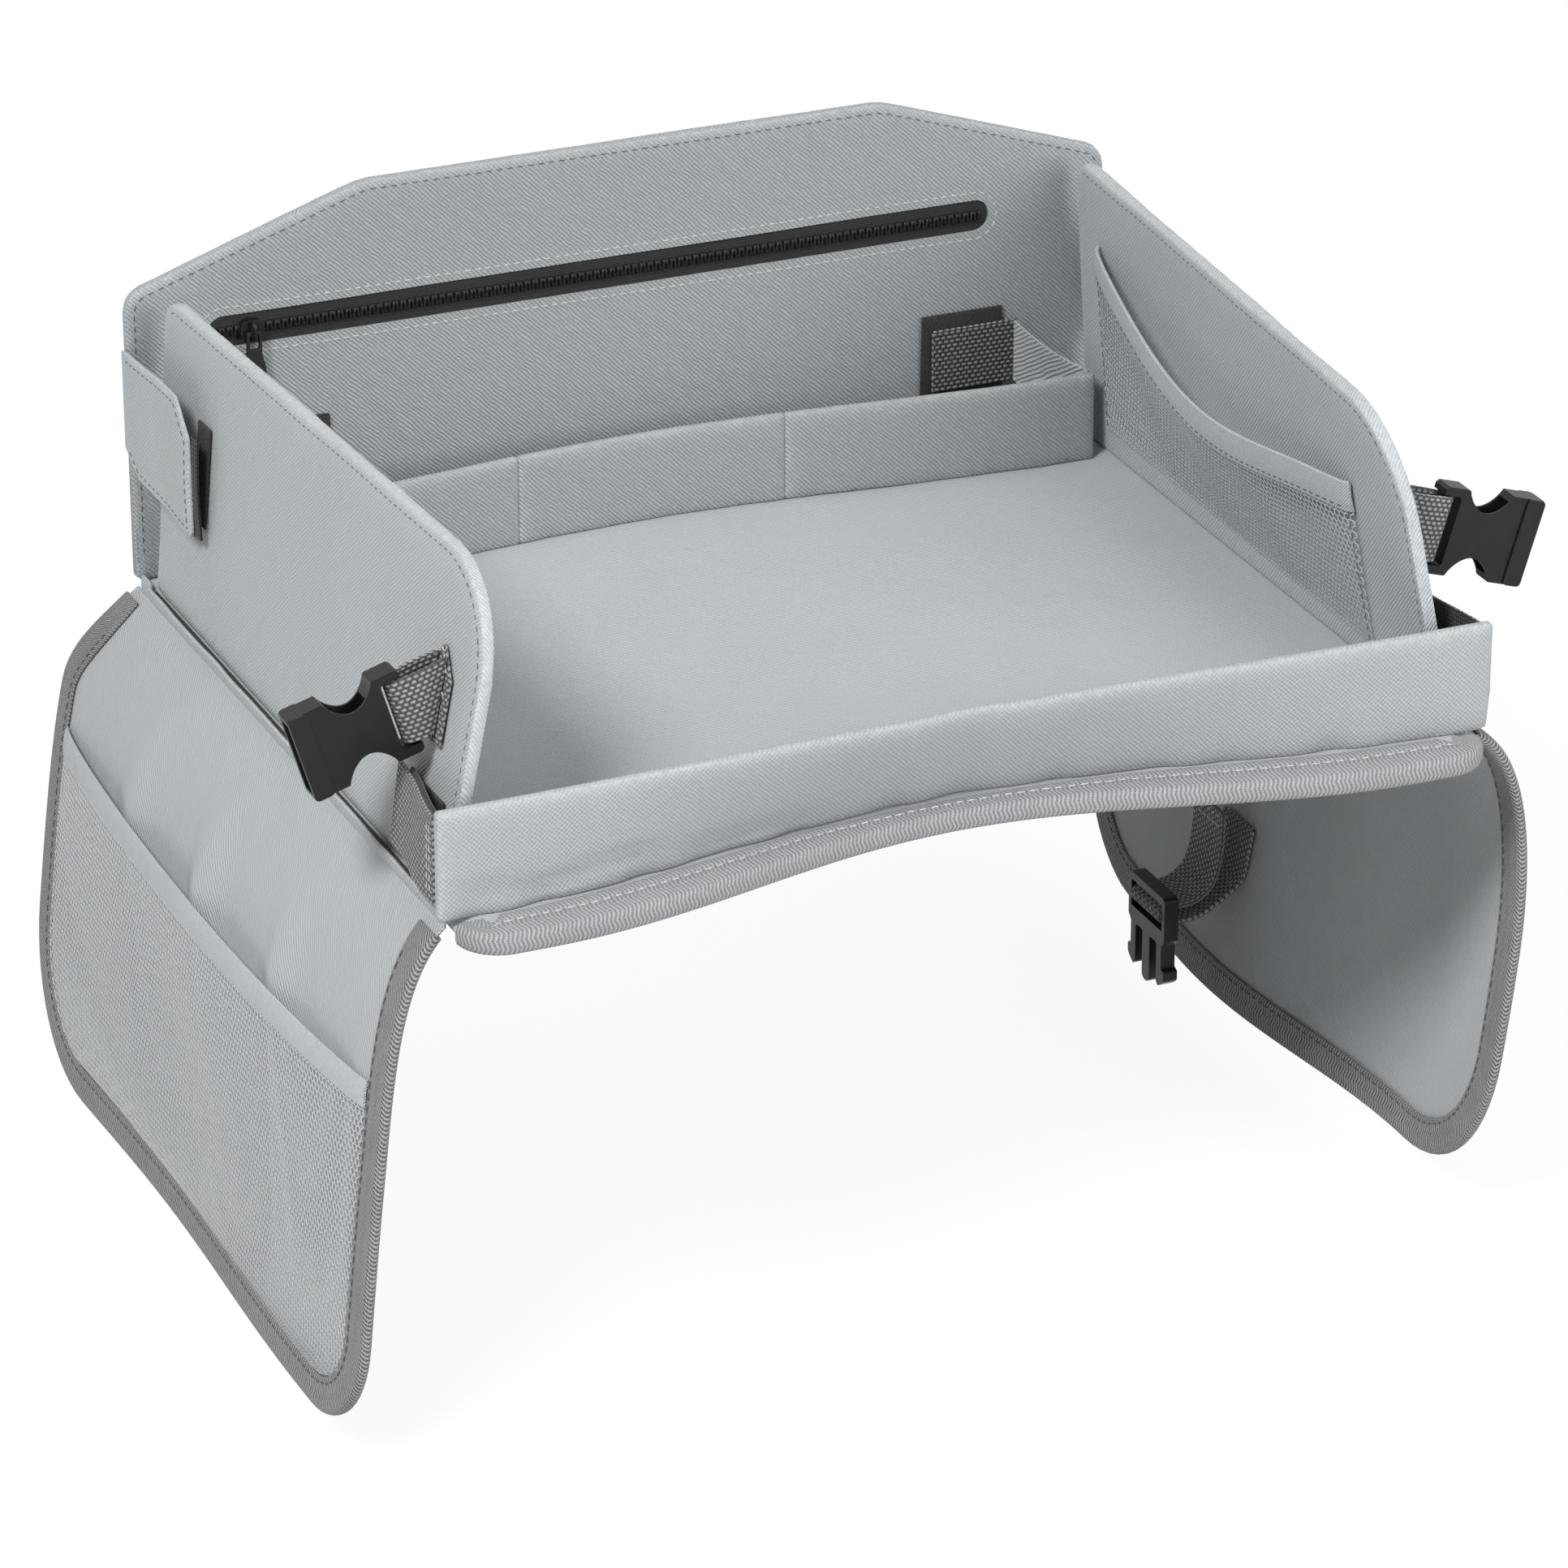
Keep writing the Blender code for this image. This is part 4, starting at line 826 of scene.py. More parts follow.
@dataclass
class Panel:
    """A flat sewn piece: two faces that fall towards their edges, and an edge band between them.

    Attributes:
        outline: Its closed outline, anticlockwise.
        thickness: Its full thickness.
        place: Turns lengths along, up and through it into places.
        fall: How far its faces fall at their edges.
        roll: The distance from the edge over which they fall.
        bulge: How far the edge band swells.
        step: The widest distance between its points.
        relief: How far each face lies inward at a place, or none.
        rows: Heights above its foot at which there is a row of points.
        columns: Lengths along it at which there is a column of points.
    """

    outline: Outline
    thickness: float
    place: Place
    fall: float
    roll: float
    bulge: float
    step: float = 0.006
    relief: Callable[[Array, Array, Face], Array] | None = None
    rows: Sequence[float] = ()
    columns: Sequence[float] = ()
    near = (0.0007, 0.0018, 0.0036, 0.0065)

    def __post_init__(self) -> None:
        """Hold the outline as an array."""
        self.outline = np.array(self.outline)

    def distance(self, u: Array, v: Array) -> Array:
        """Return how far places are from the outline."""
        start = self.outline
        run = np.roll(start, -1, 0) - start
        size = np.maximum((run**2).sum(1), 1e-18)
        best = np.full(np.shape(u), np.inf)
        for (u0, v0), (du, dv), square in zip(start, run, size):
            share = np.clip(((u - u0) * du + (v - v0) * dv) / square, 0, 1)
            best = np.minimum(best, np.hypot(u - u0 - du * share, v - v0 - dv * share))
        return best

    def half(self, u: Array, v: Array, face: Face) -> Array:
        """Return half of the thickness at places on a face."""
        depth = self.fall * np.exp(-self.distance(u, v) / self.roll)
        if self.relief:
            depth = depth + self.relief(u, v, face)
        return np.maximum(self.thickness / 2 - depth, self.thickness * -0.4)

    def point(self, u: Array, v: Array, face: Face, lift: float = 0.0) -> Array:
        """Return places on a face, raised by a lift."""
        return self.place(u, v, face.value * (self.half(u, v, face) + lift))

    def ends(self, u: float) -> tuple[float, float]:
        """Return the outline's lowest and highest place at a length along the piece."""
        found = []
        for (u0, v0), (u1, v1) in zip(self.outline, np.roll(self.outline, -1, 0)):
            if min(u0, u1) - 1e-9 <= u <= max(u0, u1) + 1e-9:
                if abs(u1 - u0) < 1e-9:
                    found += [v0, v1]
                else:
                    found.append(v0 + (v1 - v0) * (u - u0) / (u1 - u0))
        return min(found), max(found)

    def stations(self) -> tuple[Array, Array]:
        """Return the grid's lengths along and up the piece, by row and column."""
        low, high = self.outline[:, 0].min(), self.outline[:, 0].max()
        along = spread(low, high, self.step, self.near)
        along = np.unique(np.round(np.concatenate([along, self.columns]), 7))
        ends = np.array([self.ends(u) for u in np.clip(along, low, high)])
        bottom, top = ends[:, 0], ends[:, 1]
        lower = [0.0, *self.near, *self.rows]
        upper = [0.0, *self.near]
        room = top - bottom
        shrink = np.minimum(1, room * 0.9 / (lower[-1] + upper[-1]))
        start, end = bottom + lower[-1] * shrink, top - upper[-1] * shrink
        count = max(2, round(float((end - start).max()) / self.step))
        heights = [bottom + offset * shrink for offset in lower]
        heights += [start + (end - start) * index / count for index in range(1, count)]
        heights += [top - offset * shrink for offset in reversed(upper)]
        v = np.stack(heights)
        return np.broadcast_to(along, v.shape), v

    def build(self, name: str, material: Material) -> Piece:
        """Make the piece with a finish."""
        u, v = self.stations()
        skin = Skin()
        worn = np.exp(-self.distance(u, v) / 0.0022)
        lengths = np.stack([u, v], -1)
        for face in Face:
            skin.patch(self.point(u, v, face), lengths=lengths, flip=face is Face.REAR, wear=worn)
        loop = [
            (0, slice(None)), (slice(1, None), -1), (-1, slice(-2, None, -1)), (slice(-2, 0, -1), 0)
        ]
        edge = np.concatenate([np.stack([u[part], v[part]], -1) for part in loop])
        along = np.roll(edge, -1, 0) - np.roll(edge, 1, 0)
        out = unit(np.stack([along[:, 1], -along[:, 0]], -1))
        front = self.half(edge[:, 0], edge[:, 1], Face.FRONT)
        rear = self.half(edge[:, 0], edge[:, 1], Face.REAR)
        rings = []
        for share in (0.0, 0.14, 0.32, 0.5, 0.68, 0.86, 1.0):
            swell = self.bulge * (1 - (2 * share - 1) ** 2)
            at = edge + out * swell
            rings.append(self.place(at[:, 0], at[:, 1], rear * (share - 1) + front * share))
        skin.patch(np.stack(rings), closed=True, wear=0.7)
        return skin.finish(name, material)

    def seam(self, inset: float, face: Face, keep: Surface) -> tuple[Array, Array]:
        """Return a line inside the outline, and the way up at its points.

        Args:
            inset: How far it runs inside the outline.
            face: The face that it is on.
            keep: Which places of it are wanted.

        Returns:
            The line's points and the directions away from the face.
        """
        line = evenly(self.outline)
        along = np.roll(line, -3, 0) - np.roll(line, 3, 0)
        inward = unit(np.stack([-along[:, 1], along[:, 0]], -1))
        line = line + inward * inset
        line = line[(self.distance(*line.T) > inset * 0.93) & keep(*line.T)]
        low = self.point(*line.T, face)
        return low, self.point(*line.T, face, 0.001) - low


@dataclass
class Stitches:
    """Rows of single stitches in one thread: their length, the gap between two and their width."""

    length: float
    gap: float
    width: float
    skin: Skin = field(default_factory=Skin)

    def row(self, path: Array, up: Array, proud: float = 0.00022) -> None:
        """Sew one row.

        Args:
            path: The points of its line.
            up: The direction away from the cloth at each point.
            proud: How far the thread stands off the cloth.
        """
        size = travel(path)
        period = self.length + self.gap
        starts = np.arange(period * 0.3, size[-1] - self.length, period)
        if not len(starts):
            return
        shares = np.array([0.0, 0.16, 0.5, 0.84, 1.0])
        rises = np.array([-0.5, 0.75, 1.0, 0.75, -0.5]) * proud
        at = starts[:, None] + shares * self.length
        centre, lift = sampled(path, size, at), unit(sampled(up, size, at))
        along = centre[:, -1:] - centre[:, :1]
        side = unit(np.cross(along, lift))
        broad = np.array([0.35, 0.85, 1.0, 0.85, 0.35]) * self.width / 2
        profile = [(-1.0, -0.9), (-0.7, 0.5), (0.0, 1.0), (0.7, 0.5), (1.0, -0.9)]
        rows = []
        for across, high in profile:
            shift = side * (across * broad)[None, :, None]
            raised = lift * (rises + high * self.width * 0.32)[None, :, None]
            rows.append(centre + shift + raised)
        for stitch in np.stack(rows, 2):
            self.skin.patch(stitch)

    def finish(self, name: str, material: Material) -> Piece:
        """Make the piece of every row sewn so far."""
        return self.skin.finish(name, material, 180.0)


def knitted(surface: Surface, width: float, height: float) -> Skin:
    """Return a knitted net of six-sided meshes, whose yarns stand slightly rounded.

    Args:
        surface: Turns shares along and up into places.
        width: The net's length, to count its meshes.
        height: Its height.

    Returns:
        The net's mesh.
    """
    wide = max(4, round(width / NET_PITCH))
    tall = max(4, round(height / (NET_PITCH * 0.866)))
    upper, lower = (0.5, 1 / 3), (0.5, -1 / 3)
    right = np.array([(0, 2 / 3), upper, lower])
    corners = np.concatenate([right, -right])
    hole = corners * np.array([0.77, 0.79])
    row, column = np.meshgrid(np.arange(tall + 1), np.arange(wide + 1), indexing="ij")
    centre = np.stack([column + 0.5 * (row % 2), row.astype(float)], -1).reshape(-1, 1, 2)
    both = np.concatenate([centre + corners, centre + hole], 1)
    shares = np.clip(both / np.array([wide, tall]), 0, 1)
    places = surface(shares[..., 0], shares[..., 1])
    ways = []
    for way in (np.array([1e-3, 0]), np.array([0, 1e-3])):
        after, before = np.clip(shares + way, 0, 1), np.clip(shares - way, 0, 1)
        ways.append(surface(after[..., 0], after[..., 1]) - surface(before[..., 0], before[..., 1]))
    raised = np.array([1.0] * 6 + [-1.0] * 6)[None, :, None] * 0.00014
    places = places + unit(np.cross(*ways)) * raised
    cells = len(centre)
    ring = np.arange(6)
    quad = np.stack([ring, (ring + 1) % 6, (ring + 1) % 6 + 6, ring + 6], -1)
    faces = (quad[None] + np.arange(cells)[:, None, None] * 12).reshape(-1, 4)
    flat = places.reshape(-1, 3)
    one, two, three, four = (flat[faces[:, corner]] for corner in range(4))
    area = np.linalg.norm(np.cross(three - one, four - two), axis=1)
    skin = Skin()
    lengths = shares * np.array([width, height])
    skin.add(flat, faces[area > 1e-10], lengths.reshape(-1, 2))
    return skin


def ribbon(path: Array, across: Array, width: float, columns: int) -> Array:
    """Return the grid of a flat band that runs along a path.

    Args:
        path: The points of its middle line.
        across: The direction across it.
        width: Its width.
        columns: How many points lie across it.

    Returns:
        The grid, one row for each point of the path.
    """
    shares = np.linspace(-1, 1, columns)
    return path[:, None] + shares[None, :, None] * across * (width / 2)


def smooth_path(points: Sequence[Sequence[float]], step: float = LINE_STEP) -> Array:
    """Return a smooth line through points, evenly stepped."""
    knots = np.array(points, float)
    padded = np.concatenate([2 * knots[:1] - knots[1:2], knots, 2 * knots[-1:] - knots[-2:-1]])
    share = np.linspace(0, 1, 12, endpoint=False)[:, None]
    parts = []
    for a, b, c, d in zip(padded, padded[1:], padded[2:], padded[3:]):
        square, cube = 2 * a - 5 * b + 4 * c - d, 3 * b - a - 3 * c + d
        parts.append(0.5 * (2 * b + (c - a) * share + square * share**2 + cube * share**3))
    line = np.concatenate([*parts, knots[-1:]])
    size = travel(line)
    at = np.linspace(0, size[-1], max(3, round(size[-1] / step)) + 1)
    return sampled(line, size, at)


def evenly(outline: Outline) -> Array:
    """Return a closed outline as an evenly stepped line that ends where it starts."""
    closed = np.array([*outline, outline[0]])
    size = travel(closed)
    at = np.arange(0, size[-1], LINE_STEP)
    return sampled(closed, size, at)


def prism(name: str, outline: Outline, low: float, high: float, place: Place) -> Piece:
    """Return a flat outline drawn out from low to high."""
    flat = np.array(outline)
    built = bmesh.new()
    rings = []
    for level in (low, high):
        ring = place(flat[:, 0], flat[:, 1], np.full(len(flat), level))
        rings.append([built.verts.new(tuple(point)) for point in ring])
    built.faces.new(rings[0])
    built.faces.new(rings[1])
    for index in range(len(flat)):
        after = (index + 1) % len(flat)
        built.faces.new((rings[0][index], rings[0][after], rings[1][after], rings[1][index]))
    bmesh.ops.recalc_face_normals(built, faces=built.faces)
    mesh = bpy.data.meshes.new(name)
    built.to_mesh(mesh)
    built.free()
    return placed(name, mesh)


def combine(base: Piece, other: Piece, operation: str = "DIFFERENCE") -> None:
    """Cut another solid out of a first one, or add it, and remove the other."""
    change = base.modifiers.new("change", "BOOLEAN")
    change.operation = operation
    change.solver = "EXACT"
    change.object = other
    applied(base)
    bpy.data.objects.remove(other)


def applied(made: Piece) -> None:
    """Bake an object's modifiers into its mesh."""
    bpy.context.view_layer.update()
    evaluated = made.evaluated_get(bpy.context.evaluated_depsgraph_get())
    baked = bpy.data.meshes.new_from_object(evaluated)
    made.modifiers.clear()
    made.data = baked


def moulded(made: Piece, material: Material, width: float) -> None:
    """Round a moulding's edges over a width and give it its finish."""
    bevel = made.modifiers.new("rounded", "BEVEL")
    bevel.width = width
    bevel.segments = 3
    bevel.limit_method = "ANGLE"
    bevel.angle_limit = radians(32)
    bevel.use_clamp_overlap = True
    applied(made)
    made.data.materials.clear()
    made.data.materials.append(material)
    made.data.shade_smooth()
    made.data.set_sharp_from_angle(angle=radians(40))
    made.modifiers.new("even_shading", "WEIGHTED_NORMAL").keep_sharp = True
    applied(made)


# The tray's sub-assemblies

HALF_WIDTH = 0.200
FRONT_Y = -0.176
REAR_Y = 0.176
BOARD_THICKNESS = 0.008
SEAM_GAP = 0.0003
BACK_FACE_Y = 0.166
WEB_WIDTH = 0.025
WEB_THICKNESS = 0.0016
BACK_HALF = 0.204
BACK_FOLD = (0.0, 0.173, 0.0086)
SLOT_HALF = 0.0137
WEB_SLOT = 0.0044
FLAP_CLOTH = 0.0013
FLEECE = 0.0012
SEAM_INSET = 0.0032
FOOT_CLEAR = 0.006
PAD_STITCH = (0.0026, 0.0017, 0.00042)
SEWN_PATCH = (0.0003, 0.0008, 0.0001)
PAD_EDGE = (0.0010, 0.0013, 0.0003)


@dataclass
class Board:
    """The covered base board with the folded binding along its cut-in front edge."""

    cut_depth: float = 0.030
    cut_half: float = 0.172
    corner: float = 0.016
    rear_radius: float = 0.008
    tape: float = 0.0096
    tape_wall: float = 0.0008

    def front_edge(self) -> Array:
        """Return the board's front edge, from its left corner to its right one."""
        inner = HALF_WIDTH - self.corner
        turn = np.linspace(0, pi / 2, 12)
        arc = np.stack(
            [-inner - self.corner * np.cos(turn), FRONT_Y + self.corner * (1 - np.sin(turn))], -1
        )
        x = np.linspace(-inner, inner, 121)[1:-1]
        middle = np.stack([x, FRONT_Y + self.cut_depth * bow(x, self.cut_half)], -1)
        return np.concatenate([arc, middle, arc[::-1] * np.array([-1, 1])])

    def front_at(self, x: Array) -> Array:
        """Return where the front edge is at places across the tray."""
        edge = self.front_edge()
        return np.interp(x, edge[:, 0], edge[:, 1])

    def relief(self, u: Array, v: Array, face: Face) -> Array:
        """Return how far the cover lies inward: thin under the binding, slack on the floor."""
        across = np.linspace(-HALF_WIDTH, HALF_WIDTH, 201)
        slope = np.gradient(self.front_at(across), 0.002)
        lean = np.cos(np.arctan(np.interp(u, across, slope)))
        inside = (v - self.front_at(u)) * np.clip(lean, 0.3, 1)
        under = 0.0021 * (1 - eased((inside - 0.0082) / 0.0014))
        slack = 0.00035 * ripple(u + 0.4 * v, 0.11) * ripple(v - 0.3 * u, 0.13, 1.7)
        return under + (slack if face is Face.FRONT else 0)

    def place(self, u: Array, v: Array, w: Array) -> Array:
        """Return places from lengths across the tray, back from its front, and up."""
        return joined(u, v, BOARD_THICKNESS / 2 + w)

    def binding(self, shop: Workshop, rail: "FrontRail") -> tuple[Piece, Piece]:
        """Return the tape folded round the front edge up to the rail's foot, and its stitches."""
        edge = self.front_edge()
        along = np.gradient(edge, axis=0)
        inward = unit(np.stack([-along[:, 1], along[:, 0]], -1))
        half = BOARD_THICKNESS / 2 - self.tape_wall / 2
        size = travel(edge)
        free = rail.foot(edge[:, 0]) - rail.thickness / 2 - edge[:, 1]
        leg = np.clip(free * np.clip(inward[:, 1], 0, 1) - 0.0004, self.tape, 0.0165)
        plump = 0.00035 * ripple(size, 0.016)
        rows = []
        section = [
            (1.0, 0.0006), (0.86, 0.0010), (0.66, 0.0008), (0.60, 0.0003),
            (0.54, 0.0007), (0.34, 0.0006), (0.10, 0.0001),
        ]
        for share, lift in section:
            raised = half + lift * eased((leg - self.tape) / 0.003) + plump * (share < 0.9)
            rows.append((leg * share, raised))
        reach, same = 0.0017 - self.tape_wall / 2, np.ones(len(edge))
        for angle in map(radians, np.linspace(80, -80, 9)):
            rows.append((same * (-reach * math.cos(angle)), same * (half * math.sin(angle))))
        for share in (0.12, 0.4, 0.7, 1.0):
            rows.append((same * (self.tape * share), same * -half))
        places = [
            joined(*(edge + inward * inset[:, None]).T, BOARD_THICKNESS / 2 + lift)
            for inset, lift in rows
        ]
        stitches = Stitches(0.0030, 0.0018, 0.0005)
        seam = edge + inward * (leg * 0.60)[:, None]
        height = BOARD_THICKNESS + 0.0003 * eased((leg - self.tape) / 0.003)
        path = np.concatenate([seam, np.broadcast_to(height + plump, (len(edge),))[:, None]], 1)
        stitches.row(path[6:-6], np.tile([0.0, 0.0, 1.0], (len(path) - 12, 1)))
        thread = stitches.finish("board_binding_stitches", shop.pale_thread)
        tape = layer("board_binding", shop.binding, grid(places)[:, 1:-1], self.tape_wall)
        return tape, thread

    def dress(self, shop: Workshop, rail: "FrontRail") -> None:
        """Build the board's cover and its binding."""
        edge = self.front_edge()
        turn = self.rear_radius
        rear = [
            (HALF_WIDTH - turn + turn * math.cos(a), REAR_Y - turn + turn * math.sin(a))
            for a in np.linspace(0, pi / 2, 7)
        ]
        rear += [(-x, y) for x, y in reversed(rear)]
        outline = [tuple(point) for point in edge] + rear
        ledge = [self.tape - 0.0012, self.tape, self.tape + 0.0014]
        cover = Panel(
            outline, BOARD_THICKNESS, self.place, 0.0012, 0.0016, 0.0, 0.0058, self.relief, ledge
        ).build("board_cover", shop.cloth)
        shop.fit(cover, "tray", Slot.FABRIC, "base_board")
        tape, thread = self.binding(shop, rail)
        shop.fit(tape, "tray", Slot.TAPE, "base_front_tape")
        shop.fit(thread, "tray", Slot.TAPE)


@dataclass
class FrontRail:
    """The low padded rail along the front, creased in its middle, and the webbing at its ends."""

    height: float = 0.042
    thickness: float = 0.006
    setback: float = 0.018
    foot_bow: float = 0.025
    top_bow: float = 0.004
    overhang: float = 0.0065
    strap_length: float = 0.048
    strap_height: float = 0.034
    strap_foot: float = 0.005

    def foot(self, x: Real) -> Array:
        """Return where the rail meets the board."""
        return FRONT_Y + self.setback + self.foot_bow * bow(x, HALF_WIDTH)

    def top(self, x: Real) -> Array:
        """Return the rail's top line."""
        return FRONT_Y + self.setback + self.top_bow * bow(x, HALF_WIDTH)

    def place(self, u: Array, v: Array, w: Array) -> Array:
        """Return places from lengths across the tray, up the rail and through it."""
        share = eased(v / self.height) * 0.35 + np.clip(v / self.height, 0, 1) * 0.65
        y = self.foot(u) + (self.top(u) - self.foot(u)) * share + w
        return joined(u, y, BOARD_THICKNESS + SEAM_GAP + v)

    def relief(self, u: Array, v: Array, face: Face) -> Array:
        """Return how far each face lies inward: a folded middle and puckers along the foot."""
        fold = np.interp(u, [-0.019, -0.017, 0.006, 0.0185, 0.0205], [0, 0.0002, 0.0019, 0.0001, 0])
        fold = fold * (0.45 + 0.55 * v / self.height)
        if face is Face.FRONT:
            return -0.8 * fold
        near = np.exp(-v / 0.0055)
        pucker = near * (0.0004 + 0.0026 * ripple(u, 0.034, 0.4) ** 2)
        drag = 0.0
        for at, length, depth, height, rise, width in (
            (0.150, 0.030, 0.0023, 0.0085, 0.10, 0.0024),
            (0.188, 0.012, 0.0019, 0.0095, 0.00, 0.0030),
            (0.080, 0.034, 0.0016, 0.0070, 0.03, 0.0022),
        ):
            drag = drag + depth * ridge(u, -at, length) * ridge(v, height + rise * (u + at), width)
        belly = np.sin(np.clip(v / self.height, 0, 1) * pi)
        return fold + pucker + drag + 0.0005 * ripple(u + 0.5 * v, 0.085, 2.0) * belly

    def strap(self, side: Side) -> Array:
        """Return the grid of an end's webbing, drawn in to the side wall at its rear."""
        sign = side.value
        start = float(self.foot(HALF_WIDTH + self.overhang)) + self.thickness / 2 + SEAM_GAP
        low = BOARD_THICKNESS + SEAM_GAP + self.strap_foot
        share = even(40)[:, None]
        up = even(22)[None, :]
        y = start + self.strap_length * share
        out = HALF_WIDTH + self.overhang - WEB_THICKNESS / 2 - 0.0026 * eased((share - 0.35) / 0.65)
        out = out + 0.0006 * np.sin(share * 7.0) * (1 - up) - 0.0036 * up * eased(share * 1.6)
        drop = 0.004 * share * (1 - up)
        return joined(sign * out, y, low + self.strap_height * up + drop)

    def dress(self, shop: Workshop) -> None:
        """Build the rail, its stitches, its two end straps and their hooks."""
        half = HALF_WIDTH + self.overhang - 0.0003
        crease = (-0.0205, -0.019, -0.017, -0.015, 0.004, 0.006, 0.008, 0.0165, 0.0185, 0.0205)
        panel = Panel(
            rectangle(-half, 0, half, self.height, 0.0012), self.thickness, self.place,
            0.0014, 0.0020, 0.0003, 0.0042, self.relief, columns=crease,
        )
        # The rail's cloth is darkened as painted shade.
        rail = panel.build("front_rail", shop.rail)
        shop.fit(rail, "tray", Slot.FABRIC, "left_front_rail", "right_front_rail")
        thread = Stitches(0.0024, 0.0013, 0.00042)
        for side in Side:
            label = side.label
            places = self.strap(side)
            turned = places.transpose(1, 0, 2)
            strap = layer(f"{label}_rail_webbing", shop.webbing, turned, WEB_THICKNESS)
            shop.fit(strap, "tray", Slot.WEBBING, f"{label}_rail_strap")
            up = normals(places)
            up = up * np.sign(up[..., :1] * side.value)
            for column in (1, 2):
                line = places[column * 2, 2:-2] + up[column * 2, 2:-2] * WEB_THICKNESS / 2
                thread.row(line, up[column * 2, 2:-2])
            inner = places[:33].copy()
            inner[..., 0] -= side.value * (WEB_THICKNESS / 2 + SEAM_GAP + FLEECE / 2)
            inner[..., 2] = inner[..., 2] + 0.0009
            turned = inner.transpose(1, 0, 2)
            hooks = layer(f"{label}_rail_hook_tape", shop.hooks, turned, FLEECE)
            shop.fit(hooks, "tray", Slot.VELCRO, f"{label}_rail_hooks")
        shop.fit(thread.finish("rail_webbing_stitches", shop.pale_thread), "tray", Slot.WEBBING)


@dataclass
class Divider:
    """The low divider before the back wall: three boards, and cloth ends that turn to the wall."""

    height: float = 0.036
    thickness: float = 0.005
    half: float = 0.185
    crease: float = 0.056
    setback: float = 0.033
    depth: float = 0.013
    return_thickness: float = 0.0018
    return_reach: float = 0.020
    strap_length: float = 0.036
    strap_foot: float = 0.026

    def line(self, x: Real) -> Array:
        """Return the divider's line."""
        return BACK_FACE_Y - self.setback + self.depth * bow(x, self.half)

    def place(self, u: Array, v: Array, w: Array) -> Array:
        """Return places from lengths across the tray, up the divider and through it."""
        return joined(u, self.line(u) + w, BOARD_THICKNESS + SEAM_GAP + v)

    def relief(self, u: Array, v: Array, face: Face) -> Array:
        """Return how far each face lies inward: soft waves and a few puckers at the foot."""
        pucker = 0.0006 * np.exp(-v / 0.005) * ripple(u, 0.027, face.value)
        return pucker + 0.00045 * ripple(u + 0.6 * v, 0.06, 1.0 + face.value)

    def cloth_end(self, side: Side) -> Array:
        """Return the grid of the cloth from the divider's end to the back wall."""
        sign = side.value
        foot = BOARD_THICKNESS + SEAM_GAP
        low_end = foot + self.strap_foot
        strap_y = BACK_FACE_Y - SEAM_GAP * 2 - FLEECE - WEB_THICKNESS
        front_y = float(self.line(self.half)) + self.thickness / 2 + SEAM_GAP
        share = even(26)[:, None]
        up = even(26)[None, :]
        x = sign * (self.half - self.return_reach * share - self.return_thickness / 2)
        x = x + sign * 0.0012 * np.sin(share * pi) * np.sin(up * pi * 1.2)
        y = front_y + (strap_y - SEAM_GAP - front_y) * share
        low = foot + (low_end - foot) * share
        high = foot + self.height + (low_end + WEB_WIDTH - foot - self.height) * share
        high = high - 0.0016 * np.sin(share * pi)
        return joined(x, y, low + (high - low) * up)

    def dress(self, shop: Workshop) -> None:
        """Build the three boards, the two cloth ends and the webbing on them."""
        gap = SEAM_GAP / 2
        spans = {
            "left_divider": (-self.half, -self.crease - gap),
            "middle_divider": (-self.crease + gap, self.crease - gap),
            "right_divider": (self.crease + gap, self.half),
        }
        for node, (start, end) in spans.items():
            panel = Panel(
                rectangle(start, 0, end, self.height), self.thickness, self.place,
                0.0012, 0.0016, 0.0002, 0.0048, self.relief,
            )
            # The divider's pads take the inner cloth, darkened as painted shade.
            board = panel.build(f"{node}_pad", shop.inner)
            shop.fit(board, "tray", Slot.FABRIC, node)
            if node != "middle_divider":
                self.crumple(board, node.split("_")[0])
        for side in Side:
            label, sign = side.label, side.value
            places = self.cloth_end(side)
            thin = self.return_thickness * 0.7
            # The cloth ends take the inner cloth, darkened as painted shade.
            turned = layer(f"{label}_divider_cloth", shop.inner, places, thin, 0.1)
            reach = math.hypot(self.return_reach, self.setback)
            reach * self.height * 0.82
            shop.fit(turned, "tray", Slot.FABRIC, f"{label}_divider_return")
            self.crumple(turned, label)
            low = BOARD_THICKNESS + SEAM_GAP + self.strap_foot
            y = BACK_FACE_Y - SEAM_GAP * 2 - FLEECE - WEB_THICKNESS / 2
            near = self.half - self.return_reach
            x = sign * np.linspace(near, near - self.strap_length, 40)
            path = np.stack([x, np.full(40, y), np.full(40, low + WEB_WIDTH / 2)], -1)
            band = ribbon(path, np.array([0, 0, 1.0]), WEB_WIDTH, 13).transpose(1, 0, 2)
            # The divider's straps take the darker webbing: painted shade.
            strap = layer(f"{label}_divider_webbing", shop.painted_shade_webbing, band, WEB_THICKNESS)
            shop.fit(strap, "tray", Slot.WEBBING, f"{label}_divider_strap")
            self.crumple(strap, label)

    def crumple(self, piece: Piece, label: str) -> None:
        """Give a piece its own copy of its mesh."""
        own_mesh(piece)


